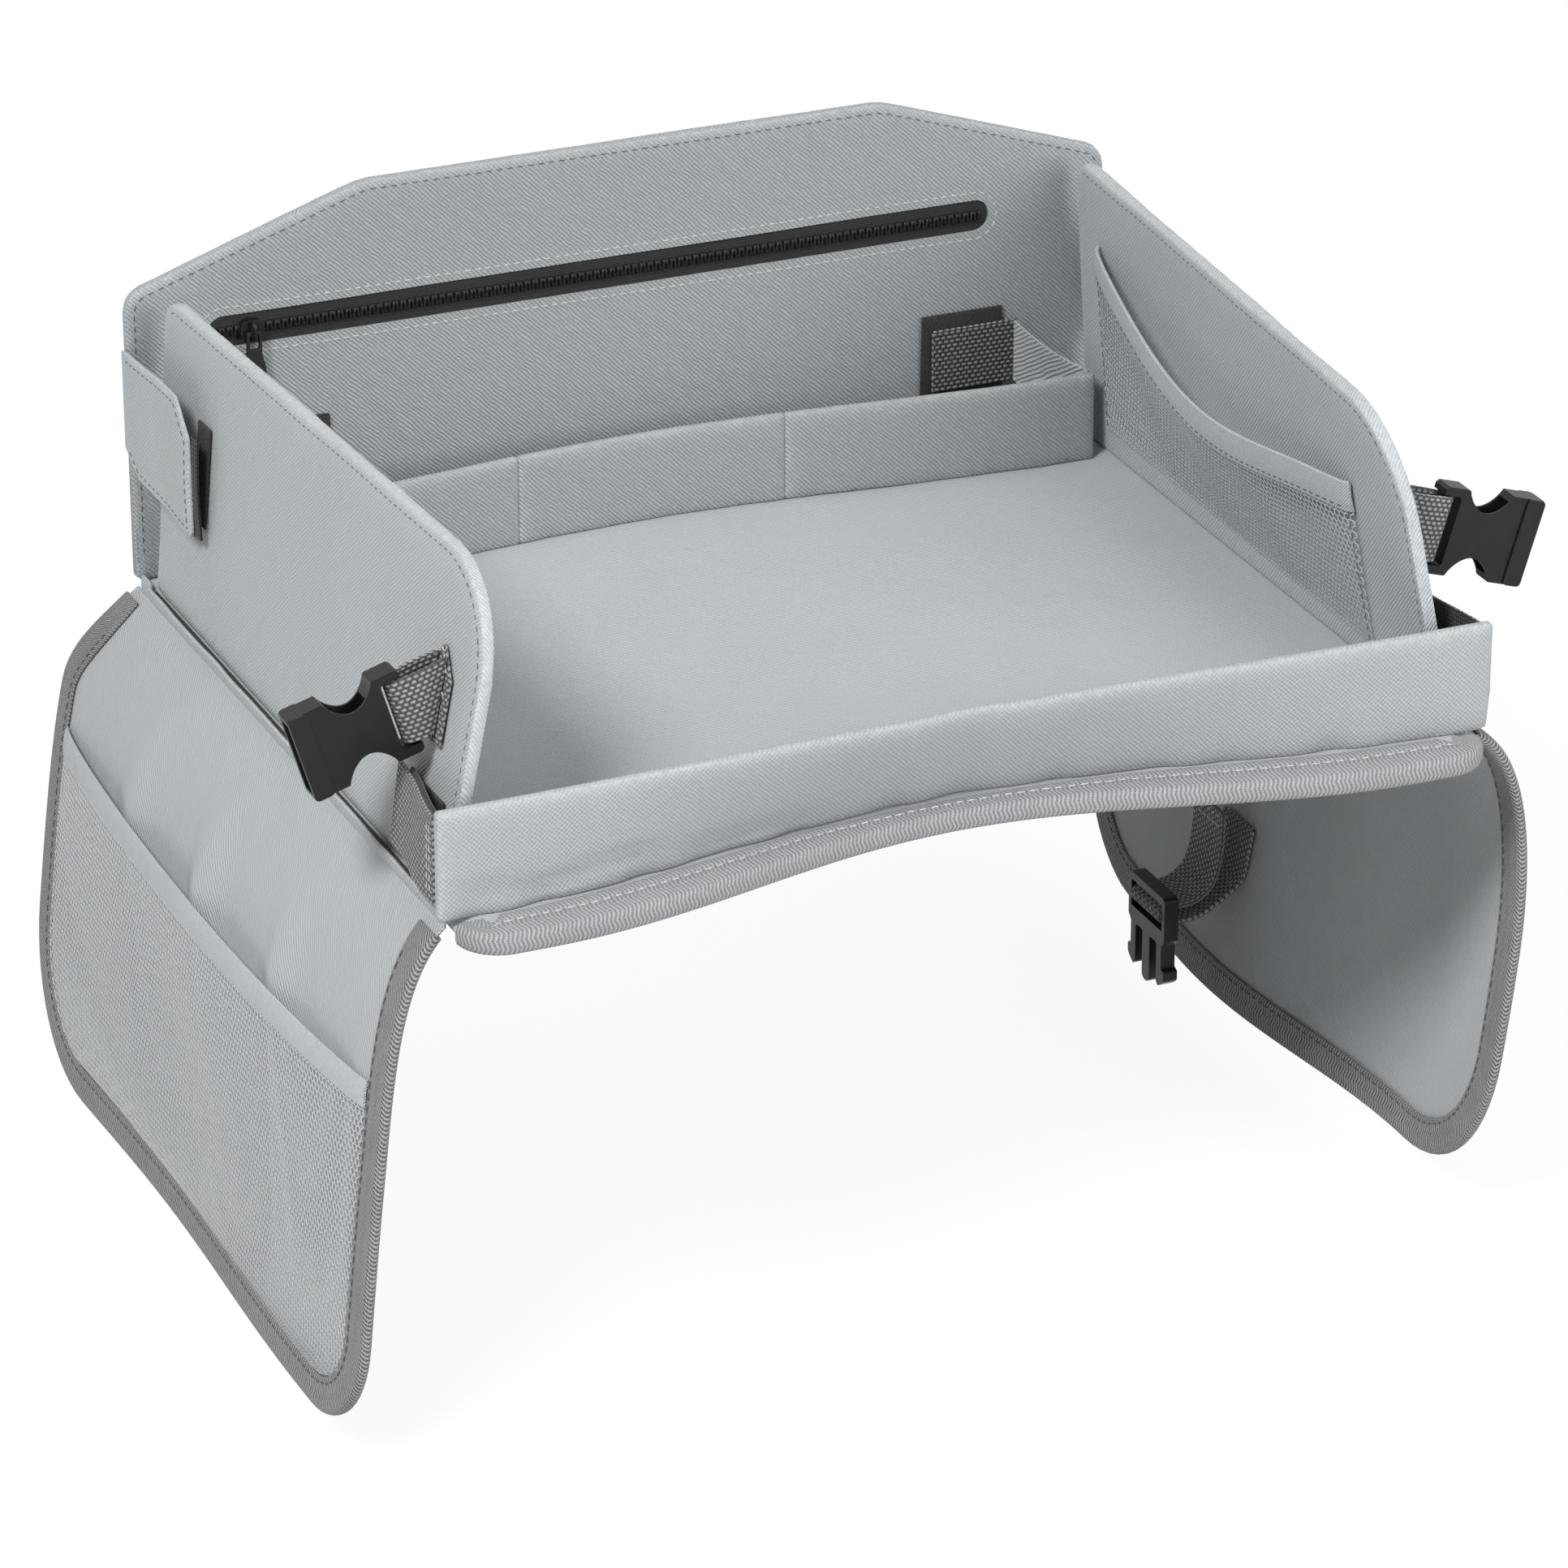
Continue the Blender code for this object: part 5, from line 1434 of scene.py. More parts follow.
@dataclass
class SideWall:
    """A padded side wall with its net pocket, fastenings and the webbing that holds a buckle."""

    side: Side
    thickness: float = 0.007
    height: float = 0.116
    length: float = 0.300
    front_inset: float = 0.032
    front_radius: float = 0.042
    rear_radius: float = 0.010
    foot_lift: float = 0.0025
    lean: float = radians(7.5)
    twist: float = radians(8)
    pocket_front: float = 0.046
    pocket_rear: float = 0.024
    pocket_foot: float = 0.010
    pocket_top: tuple[float, float] = (0.078, 0.088)
    pocket_sag: float = 0.014
    pocket_bulge: float = 0.013
    hem_height: float = 0.012
    buckle_at: float = 0.026
    buckle_height: float = 0.060
    buckle_standoff: float = 0.014
    buckle_droop: float = radians(28)

    @property
    def frame(self) -> Frame:
        """The wall's own frame, on its fold line."""
        sign, front = self.side.value, FRONT_Y + self.front_inset
        fold = (sign * (HALF_WIDTH - self.thickness), front, BOARD_THICKNESS + self.foot_lift)
        return Frame(np.array(fold), Frame.about("Y", -sign * self.lean))

    @property
    def buckle_frame(self) -> Frame:
        """The buckle's own frame, on its strap bar."""
        out = self.thickness + self.buckle_standoff
        origin = self.twisted(self.buckle_at, self.buckle_height, out)
        droop = self.buckle_droop - self.turn(self.buckle_at)
        return self.frame.child(origin, "Y", self.side.value * droop)

    def turn(self, u: Real) -> Array:
        """Return how much further in than its middle the wall leans at a length along it."""
        return self.twist * (0.5 - np.asarray(u) / self.length)

    def twisted(self, u: Real, v: Real, out: Real) -> tuple[Array, Array, Array]:
        """Return places in the wall's frame from lengths along it, up it and out from its fold."""
        cos, sin = np.cos(self.turn(u)), np.sin(self.turn(u))
        return self.side.value * (out * cos - v * sin), np.asarray(u), v * cos + out * sin

    def place(self, u: Array, v: Array, w: Array) -> Array:
        """Return places from lengths along the wall, up it and outward through it."""
        return self.frame.world(*self.twisted(u, v, w + self.thickness / 2))

    def relief(self, u: Array, v: Array, face: Face) -> Array:
        """Return how far each face lies inward: slack waves and puckers along the sewn edge."""
        wave = 0.00065 * ripple(u + 0.35 * v, 0.12, 0.8 * self.side.value) * np.clip(v / 0.02, 0, 1)
        edge = np.minimum(self.height - v, u + 0.004)
        pucker = 0.00035 * np.exp(-np.clip(edge, 0, 1) / 0.008) * ripple(u + v, 0.016, face.value)
        seam = 0.00035 * ridge(self.panel_distance(u, v), 0.0032, 0.0009)
        return wave + pucker + seam

    def panel_distance(self, u: Array, v: Array) -> Array:
        """Return how far places are from the wall's upper and front edge."""
        bend = self.front_radius
        corner = bend - np.hypot(np.maximum(bend - u, 0), np.maximum(v - (self.height - bend), 0))
        inside = np.minimum(np.minimum(u, self.height - v), self.length - u)
        return np.where((u < bend) & (v > self.height - bend), corner, inside)

    def outline(self) -> Outline:
        """Return the wall's outline."""
        foot = -(self.foot_lift - SEAM_GAP) / math.cos(self.lean) - 0.0003
        return rounded(
            [
                (0, foot, 0.003), (self.length, foot, 0.003),
                (self.length, self.height, self.rear_radius), (0, self.height, self.front_radius),
            ],
            14,
        )

    def is_free(self, u: Array, v: Array) -> Array:
        """Return which places are clear of the foot and the rear end."""
        return (v > FOOT_CLEAR) & (u < self.length - FOOT_CLEAR)

    def pocket(self, share: Array, up: Array) -> Array:
        """Return places on the pocket's net from shares along it and up it."""
        length = self.length - self.pocket_front - self.pocket_rear
        reach = self.pocket_edge(share) - self.hem_height - SEAM_GAP - self.pocket_foot
        full = np.sin(pi * np.clip(share, 0, 1)) ** 0.6
        out = SEAM_GAP + 0.0008 + self.pocket_bulge * full * up
        out = out + 0.0010 * np.sin(share * 29) * np.sin(pi * share) * np.sin(pi * up)
        return self.frame.world(
            *self.twisted(self.pocket_front + length * share, self.pocket_foot + reach * up, -out)
        )

    def pocket_edge(self, share: Array) -> Array:
        """Return the height of the pocket's slack top edge."""
        front, rear = self.pocket_top
        return front + (rear - front) * share - self.pocket_sag * np.sin(pi * share) ** 2

    def hem(self, share: Array, up: Array) -> Array:
        """Return places on the pocket's hem from shares along it and up it."""
        length = self.length - self.pocket_front - self.pocket_rear
        full = np.sin(pi * np.clip(share, 0, 1)) ** 0.6
        out = SEAM_GAP + 0.0008 + self.pocket_bulge * full + 0.0004 * np.sin(pi * up)
        height = self.pocket_edge(share) - self.hem_height * (1 - up)
        return self.frame.world(*self.twisted(self.pocket_front + length * share, height, -out))

    def patch(self, name: str, outline: Outline, thickness: float, material: Material) -> Piece:
        """Return a flat piece sewn on the wall's outer face."""
        start = self.thickness / 2 + SEAM_GAP + thickness / 2 - 0.0002
        panel = Panel(
            outline, thickness, lambda u, v, w: self.place(u, v, w + start),
            thickness * 0.25, 0.0008, 0.0001, 0.005,
        )
        return panel.build(name, material)

    def dress(self, shop: Workshop) -> None:
        """Build the wall and everything that is sewn on it."""
        label, body = self.side.label, f"{self.side.label}_wall"
        outline = self.outline()
        panel = Panel(outline, self.thickness, self.place, *PAD_EDGE, 0.0050, self.relief)
        pad = panel.build(f"{label}_wall_pad", shop.cloth)
        shop.fit(pad, body, Slot.FABRIC, f"{label}_wall")
        thread = Stitches(*PAD_STITCH)
        for face in Face:
            thread.row(*panel.seam(SEAM_INSET, face, self.is_free))
        self.dress_pocket(shop, thread)
        self.dress_fastenings(shop)
        self.dress_buckle(shop)
        shop.fit(thread.finish(f"{label}_wall_stitches", shop.dark_thread), body, Slot.FABRIC)

    def dress_pocket(self, shop: Workshop, thread: Stitches) -> None:
        """Build the pocket's net and hem."""
        body = f"{self.side.label}_wall"
        length = self.length - self.pocket_front - self.pocket_rear
        height = sum(self.pocket_top) / 2 - self.pocket_sag / 2 - self.hem_height - self.pocket_foot
        share, up = np.meshgrid(even(90), even(7))
        hem = self.hem(share, up)
        shop.pocket(body, f"{body}_pad", self.pocket, hem, (length, height), 0.54)
        line = np.linspace(0.01, 0.99, 160)
        low = self.hem(line, np.full(160, 0.14))
        inward = self.frame.turn @ np.array([-self.side.value, 0, 0])
        thread.row(low + inward * 0.0008, np.tile(inward, (160, 1)))
        for share_at in (0.006, 0.994):
            rise = even(60)
            edge = self.pocket(np.full(60, share_at), rise)
            thread.row(edge + inward * 0.0004, np.tile(inward, (60, 1)))

    def dress_fastenings(self, shop: Workshop) -> None:
        """Build the two loop patches that the rail's webbing and the corner tab hold on to."""
        label, body = self.side.label, f"{self.side.label}_wall"
        outline = rectangle(0.008, 0.008, 0.040, 0.031)
        rail = self.patch(f"{label}_rail_loop_tape", outline, FLEECE, shop.loops)
        shop.fit(rail, body, Slot.VELCRO, f"{label}_rail_loops")
        rear = BACK_FACE_Y + 0.0035 - (FRONT_Y + self.front_inset) - 0.066
        outline = rectangle(rear, 0.042, rear + 0.012, 0.082)
        tab = self.patch(f"{label}_tab_loop_tape", outline, FLEECE, shop.loops)
        shop.fit(tab, body, Slot.VELCRO, f"{label}_tab_loops")

    def dress_buckle(self, shop: Workshop) -> None:
        """Build the sewn patch, the webbing loop round the strap bar, and the buckle itself."""
        label, sign, body = self.side.label, self.side.value, f"{self.side.label}_wall"
        low, high = self.buckle_height - WEB_WIDTH / 2, self.buckle_height + WEB_WIDTH / 2
        front, rear = self.buckle_at - WEB_WIDTH * 0.3, self.buckle_at + WEB_WIDTH * 0.3
        outline = rounded(
            [
                (front, low, 0.0006), (rear, low, 0.0006), (rear, high, 0.0006),
                (self.buckle_at + WEB_WIDTH * 0.1, high + WEB_WIDTH / 2, 0.0012),
                (front, high, 0.0006),
            ],
            4,
        )
        patch = self.patch(f"{label}_buckle_anchor", outline, WEB_THICKNESS, shop.webbing)
        shop.fit(patch, body, Slot.WEBBING, f"{label}_buckle_patch")
        box = Stitches(0.0030, 0.0010, 0.00060)
        peak = (self.buckle_at + WEB_WIDTH * 0.06, high + WEB_WIDTH * 0.38)
        near, far = front + 0.002, rear - 0.002
        corners = [(near, high + 0.001), peak]
        corners += [(far, high - 0.002), (near, high - 0.006), (far, high - 0.008)]
        zigzag = smooth_path([self.place(u, v, self.thickness / 2 + 0.0019) for u, v in corners])
        out = self.frame.turn @ np.array([sign, 0, 0])
        box.row(zigzag, np.tile(out, (len(zigzag), 1)), 0.0004)
        shop.fit(box.finish(f"{label}_anchor_stitches", shop.pale_thread), body, Slot.WEBBING)
        frame = self.buckle_frame
        radius = 0.0016 + 0.0011 + WEB_THICKNESS / 2
        turn = np.linspace(pi / 2, -pi / 2, 17)
        face = self.thickness + SEAM_GAP * 2 + WEB_THICKNESS
        stand = self.thickness + self.buckle_standoff
        across = np.linspace(-1, 1, 13) * WEB_WIDTH / 2
        sin, cos = math.sin(self.buckle_droop), math.cos(self.buckle_droop)
        wall_end = (face + WEB_THICKNESS * 0.2 - stand - across * sin) / cos
        rows = []
        for share in even(8)[:-1]:
            belly = 0.0010 * math.sin(share * pi)
            rows.append((wall_end * (1 - share), radius + belly))
        rows += [(radius * math.cos(a), radius * math.sin(a)) for a in turn]
        for share in even(8)[1:]:
            belly = 0.0010 * math.sin(share * pi)
            rows.append((wall_end * share, -radius - belly))
        places = grid([frame.world(sign * a, y, across) for a, y in rows]).transpose(1, 0, 2)
        loop = layer(f"{label}_buckle_webbing", shop.webbing, places, WEB_THICKNESS)
        shop.fit(loop, body, Slot.WEBBING, f"{label}_buckle_loop")
        SocketBuckle(frame, self.side).dress(shop)


@dataclass
class SocketBuckle:
    """The socket half of a side release buckle: a hollow moulding with a thick lip at its mouth."""

    frame: Frame
    side: Side
    length: float = 0.043
    width: float = 0.034
    thickness: float = 0.0105
    body: float = 0.0088
    wall: float = 0.0018
    waist: float = 0.0088
    bar: float = 0.0032
    lip: float = 0.0075

    def place(self, a: Array, c: Array, b: Array) -> Array:
        """Return places from lengths along the buckle, across it and through it."""
        return self.frame.world(self.side.value * a, b, c)

    def half_width(self, along: float) -> float:
        """Return the half width, drawn in where the prongs are pressed."""
        share = (along / self.length - 0.24) / 0.44
        pinch = math.sin(pi * min(max(share, 0), 1)) ** 0.7
        return self.width / 2 - (self.width / 2 - self.waist) * pinch

    def block(self, low: Sequence[float], high: Sequence[float], radius: float = 0.0004) -> Piece:
        """Return a solid from its lowest and highest length along, across and through."""
        outline = rectangle(*low[:2], *high[:2], radius)
        return prism("block", outline, low[2], high[2], self.place)

    def dress(self, shop: Workshop) -> None:
        """Build the moulding."""
        label = self.side.label
        start, end = -self.bar / 2, self.length - self.bar / 2
        upper = [(start, self.width / 2 - 0.0012)]
        middle = np.linspace(0.0012, self.length - 0.0008, 59)
        upper += [(start + s, self.half_width(s)) for s in middle]
        upper.append((end, self.width / 2 - 0.0008))
        outline = upper + [(a, -b) for a, b in reversed(upper)]
        deep, across = self.thickness, self.width / 2
        made = prism(f"{label}_socket", outline, -self.body / 2, self.body / 2, self.place)
        lip = self.block((end - self.lip, -across, -deep / 2), (end, across, deep / 2), 0.0016)
        combine(made, lip, "UNION")
        inner = self.thickness / 2 - self.wall
        hollow = across - self.wall * 1.4
        strap, bar = SLOT_HALF, self.bar / 2
        cuts = [
            ((end - 0.029, -hollow, -inner), (end + 0.002, hollow, inner), 0.0004),
            ((bar, -strap, -deep), (bar + WEB_SLOT, strap, deep), 0.0012),
            ((start * 2, -strap, bar), (bar * 1.4, strap, deep), 0.0004),
            ((start * 2, -strap, -deep), (bar * 1.4, strap, -bar), 0.0004),
        ]
        for low, high, radius in cuts:
            combine(made, self.block(low, high, radius))
        moulded(made, shop.plastic, 0.00055)
        shop.fit(made, f"{label}_buckle", Slot.PLASTIC, f"{label}_buckle")


@dataclass
class BackWall:
    """The back wall with its long zipper, the divider's loop patches and the two corner tabs."""

    half: float = BACK_HALF
    thickness: float = 0.007
    end_height: float = 0.116
    centre_height: float = 0.148
    plateau: float = 0.108
    zip_start: float = -0.172
    zip_end: float = 0.154
    zip_height: float = 0.096
    window: float = 0.013
    window_depth: float = 0.0022
    tape_thickness: float = 0.0008
    coil_width: float = 0.0044
    coil_height: float = 0.0018
    tooth_pitch: float = 0.0016
    frame: Frame = field(default_factory=lambda: Frame(np.array(BACK_FOLD)))

    def place(self, u: Array, v: Array, w: Array) -> Array:
        """Return places from lengths along the wall, up it and back through it."""
        return self.frame.world(u, w - self.thickness / 2, v)

    def relief(self, u: Array, v: Array, face: Face) -> Array:
        """Return how far each face lies inward: slack, a sewn edge and puckers over the zipper."""
        wave = 0.0008 * ripple(u + 0.3 * v, 0.15, 2.0) * np.clip(v / 0.02, 0, 1)
        top = np.interp(np.abs(u), [self.plateau, self.half], [self.centre_height, self.end_height])
        pucker = 0.0004 * np.exp(-np.abs(top - v) / 0.008) * ripple(u, 0.019, face.value)
        if face is Face.FRONT:
            return wave + pucker
        beside = np.abs(np.abs(v - self.zip_height) - self.window * 0.8)
        return wave + pucker + 0.0005 * np.exp(-beside / 0.004) * ripple(u, 0.026, 1.1)

    def on_face(self, depth: float) -> Place:
        """Return the place function of a flat piece that far before the inner face."""
        return lambda u, v, w: self.frame.upright(u, v, w - self.thickness - depth)

    def stadium(self, grown: float) -> Outline:
        """Return the zipper window's outline, grown on every side."""
        half = self.window / 2 + grown
        low, high = self.zip_height - half, self.zip_height + half
        start, end = self.zip_start - grown, self.zip_end + grown
        radius = half * 0.96
        ends = ((start, low), (end, low), (end, high), (start, high))
        return rounded([(u, v, radius) for u, v in ends], 10)

    def dress(self, shop: Workshop) -> None:
        """Build the wall, its stitches and everything on it."""
        outline = rounded(
            [
                (-self.half, 0, 0.003), (self.half, 0, 0.003), (self.half, self.end_height, 0.010),
                (self.plateau, self.centre_height, 0.030),
                (-self.plateau, self.centre_height, 0.030), (-self.half, self.end_height, 0.010),
            ],
            10,
        )
        panel = Panel(outline, self.thickness, self.place, *PAD_EDGE, 0.0055, self.relief)
        # The back wall's pad takes the inner cloth, darkened as painted shade.
        wall = panel.build("back_wall_pad", shop.inner)
        inner = self.thickness - self.window_depth
        cutter = prism(
            "zip_window", self.stadium(0), -0.002, self.window_depth,
            lambda u, v, w: self.frame.upright(u, v, w - self.thickness),
        )
        combine(wall, cutter)
        wall.data.shade_smooth()
        wall.data.set_sharp_from_angle(angle=radians(50))
        shop.fit(wall, "back_wall", Slot.FABRIC, "back_wall")
        thread = Stitches(*PAD_STITCH)
        for face in Face:
            thread.row(*panel.seam(SEAM_INSET, face, lambda u, v: v > FOOT_CLEAR))
        shop.fit(thread.finish("back_wall_stitches", shop.dark_thread), "back_wall", Slot.FABRIC)
        ring = evenly(self.stadium(0.0032))
        face = panel.point(ring[:, 0], ring[:, 1], Face.REAR)
        round_zip = Stitches(0.0026, 0.0015, 0.00045)
        round_zip.row(face, panel.point(ring[:, 0], ring[:, 1], Face.REAR, 0.001) - face)
        shop.fit(round_zip.finish("zip_stitches", shop.pale_thread), "back_wall", Slot.FABRIC)
        self.dress_zipper(shop, -inner)
        for side in Side:
            sign, label = side.value, side.label
            near, far = sign * 0.16025, sign * 0.12425
            place = self.on_face(SEAM_GAP + 0.0006)
            panel = Panel(rectangle(near, 0.023, far, 0.057), FLEECE, place, *SEWN_PATCH)
            loops = panel.build(f"{label}_divider_loop_tape", shop.loops)
            shop.fit(loops, "back_wall", Slot.VELCRO, f"{label}_divider_loops")
            CornerTab(side, self.frame).dress(shop)

    def dress_zipper(self, shop: Workshop, floor: float) -> None:
        """Build the tape, the closed row of teeth, the slider and its pull."""
        depth = floor - SEAM_GAP - self.tape_thickness / 2
        tape = Panel(
            self.stadium(-SEAM_GAP), self.tape_thickness, self.on_face(-self.thickness - depth),
            0.0001, 0.0005, 0.0, 0.004,
        ).build("zip_tape_strip", shop.zip_tape)
        shop.fit(tape, "back_wall", Slot.ZIP, "zip_tape")
        foot = depth - self.tape_thickness / 2 - SEAM_GAP
        skin = Skin()
        across = np.array([-1.0, -0.92, -0.5, -0.15, 0.15, 0.5, 0.92, 1.0])
        height = np.array([0.25, 0.62, 0.96, 0.86, 0.86, 0.96, 0.62, 0.25]) * self.coil_height
        turn = np.linspace(0, TAU, 8, endpoint=False)
        teeth = np.arange(self.zip_start + 0.003, self.zip_end - 0.003, self.tooth_pitch)
        for index, x in enumerate(teeth):
            slant = 0.00035 * (1 if index % 2 else -1)
            rings = []
            for share, high in zip(across, height):
                local_x = x + slant * share + 0.00062 * np.cos(turn)
                local_y = foot - high / 2 - high / 2 * np.sin(turn)
                local_z = self.zip_height + share * self.coil_width / 2
                rings.append(self.frame.world(local_x, local_y, local_z))
            skin.tube(grid(rings))
        shop.fit(skin.finish("zip_coil", shop.coil), "back_wall", Slot.ZIP, "zip_teeth")
        self.dress_slider(shop, foot)

    def dress_slider(self, shop: Workshop, foot: float) -> None:
        """Build the oval slider, the wire bridge on it and the pull with its round hole."""
        length, width, wall, rise, bar = 0.0095, 0.0086, 0.0010, 0.0037, 0.0010
        top = foot - self.coil_height - SEAM_GAP
        face = top - wall
        frame = self.frame.child((self.zip_start + 0.017, 0, self.zip_height))
        angles = np.linspace(0, TAU, 48, endpoint=False)
        oval = [
            (
                length / 2 * np.sign(math.cos(a)) * abs(math.cos(a)) ** 0.72,
                width / 2 * np.sign(math.sin(a)) * abs(math.sin(a)) ** 0.72,
            )
            for a in angles
        ]
        slider = prism("zip_slider_body", oval, foot, face, frame.upright)
        channel = self.coil_width / 2 + SEAM_GAP
        outline = rectangle(-length, -channel, length, channel)
        cutter = prism("channel", outline, foot + wall, top, frame.upright)
        combine(slider, cutter)
        moulded(slider, shop.metal, 0.0003)
        shop.fit(slider, "zip_slider", Slot.ZIP, "zip_slider")
        foot_z = width * 0.42
        knots = [
            (0, face + wall / 2, -foot_z), (0, face - rise * 0.6, -foot_z + 0.0002),
            (0, face - rise + bar / 2, -foot_z + bar * 1.6),
        ]
        knots += [(x, y, -z) for x, y, z in reversed(knots)]
        wire = smooth_path(knots, 0.0003)
        along = np.gradient(wire, axis=0)
        side = np.array([1.0, 0, 0])
        up = unit(np.cross(along, side))
        turn = np.linspace(0, TAU, 14, endpoint=False)[None, :, None]
        rings = wire[:, None] + np.cos(turn) * side * 0.0009 + np.sin(turn) * up[:, None] * 0.0005
        skin = Skin()
        skin.tube(frame.world(rings[..., 0], rings[..., 1], rings[..., 2]))
        shop.fit(skin.finish("zip_bridge", shop.metal), "zip_slider", Slot.ZIP)
        plate = 0.0014
        pin = (0, face - (rise - bar) / 2, -foot_z + bar * 1.7 + plate * 0.72 + SEAM_GAP)
        on_pull = frame.child(pin).upright
        neck, half, long, bend = 0.0031, 0.0045, 0.024, plate / 2
        corners = [
            (-neck, bend, 0.0009), (-neck, -long * 0.36, 0.002),
            (-half, -long * 0.60, 0.008), (-half, -long, half * 0.8),
        ]
        corners += [(-u, v, radius) for u, v, radius in reversed(corners)]
        pull = prism("pull_plate", rounded(corners), -bend, bend, on_pull)
        gap, radius = 0.0018, 0.0026
        window = rectangle(-gap, -bend - rise - bar * 2, gap, -bend)
        turn = np.linspace(0, TAU, 40, False)
        hole = [(radius * math.cos(a), radius * math.sin(a) - long * 0.8) for a in turn]
        for outline in (window, hole):
            combine(pull, prism("cutter", outline, -plate, plate, on_pull))
        moulded(pull, shop.pull, 0.00032)
        shop.fit(pull, "zip_pull", Slot.ZIP, "zip_pull")


@dataclass
class CornerTab:
    """The tab that wraps from the back wall's end round a side wall, with hooks along its edge."""

    side: Side
    carrier: Frame
    length: float = 0.066
    height: float = 0.052
    foot: float = 0.042
    chamfer: float = 0.013
    thickness: float = 0.0016
    ajar: float = radians(-3.5)

    @property
    def frame(self) -> Frame:
        """The tab's own frame, on its fold line."""
        sign = self.side.value
        origin = (sign * (BACK_HALF + SEAM_GAP + self.thickness / 2), -0.0035, 0)
        return self.carrier.child(origin, "Z", sign * self.ajar)

    def place(self, u: Array, v: Array, w: Array) -> Array:
        """Return places from lengths back along the tab, up it and outward through it."""
        share = np.clip(-np.asarray(u) / self.length, 0, 1.1)
        high = (v - self.foot) / self.height
        curl = 0.0014 * share**2 * np.sin(2.6 * high + 0.5) + 0.0006 * np.sin(9 * share) * share
        return self.frame.world(self.side.value * (w + curl), u, v)

    def dress(self, shop: Workshop) -> None:
        """Build the tab, its stitches and its strip of hooks."""
        label, top = self.side.label, self.foot + self.height
        outline = rounded(
            [
                (0, self.foot + self.chamfer, 0.0004), (0, top, 0.0004),
                (-self.length + self.chamfer, top, 0.004),
                (-self.length, top - self.chamfer, 0.004), (-self.length, self.foot, 0.002),
                (-self.chamfer, self.foot + self.chamfer * 0.3, 0.004),
            ],
            6,
        )
        panel = Panel(outline, self.thickness, self.place, 0.00025, 0.0010, 0.0001, 0.0035)
        tab = panel.build(f"{label}_corner_tab", shop.cloth)
        self.length * self.height * 0.90
        body = f"{label}_tab"
        shop.fit(tab, body, Slot.FABRIC, f"{label}_tab")
        thread = Stitches(0.0024, 0.0015, 0.0004)
        for face in Face:
            thread.row(*panel.seam(0.0028, face, lambda u, v: u < -0.003))
        shop.fit(thread.finish(f"{label}_tab_stitches", shop.dark_thread), body, Slot.FABRIC)
        start = -self.length - 0.004
        foot = self.foot + (self.height - self.chamfer - 0.040) / 2
        inward = self.thickness / 2 + SEAM_GAP + FLEECE / 2
        strip = Panel(
            rectangle(start, foot, start + 0.012, foot + 0.040), FLEECE,
            lambda u, v, w: self.place(u, v, w - inward), *SEWN_PATCH, 0.003,
        ).build(f"{label}_tab_hook_tape", shop.hooks)
        shop.fit(strip, body, Slot.VELCRO, f"{label}_tab_hooks")


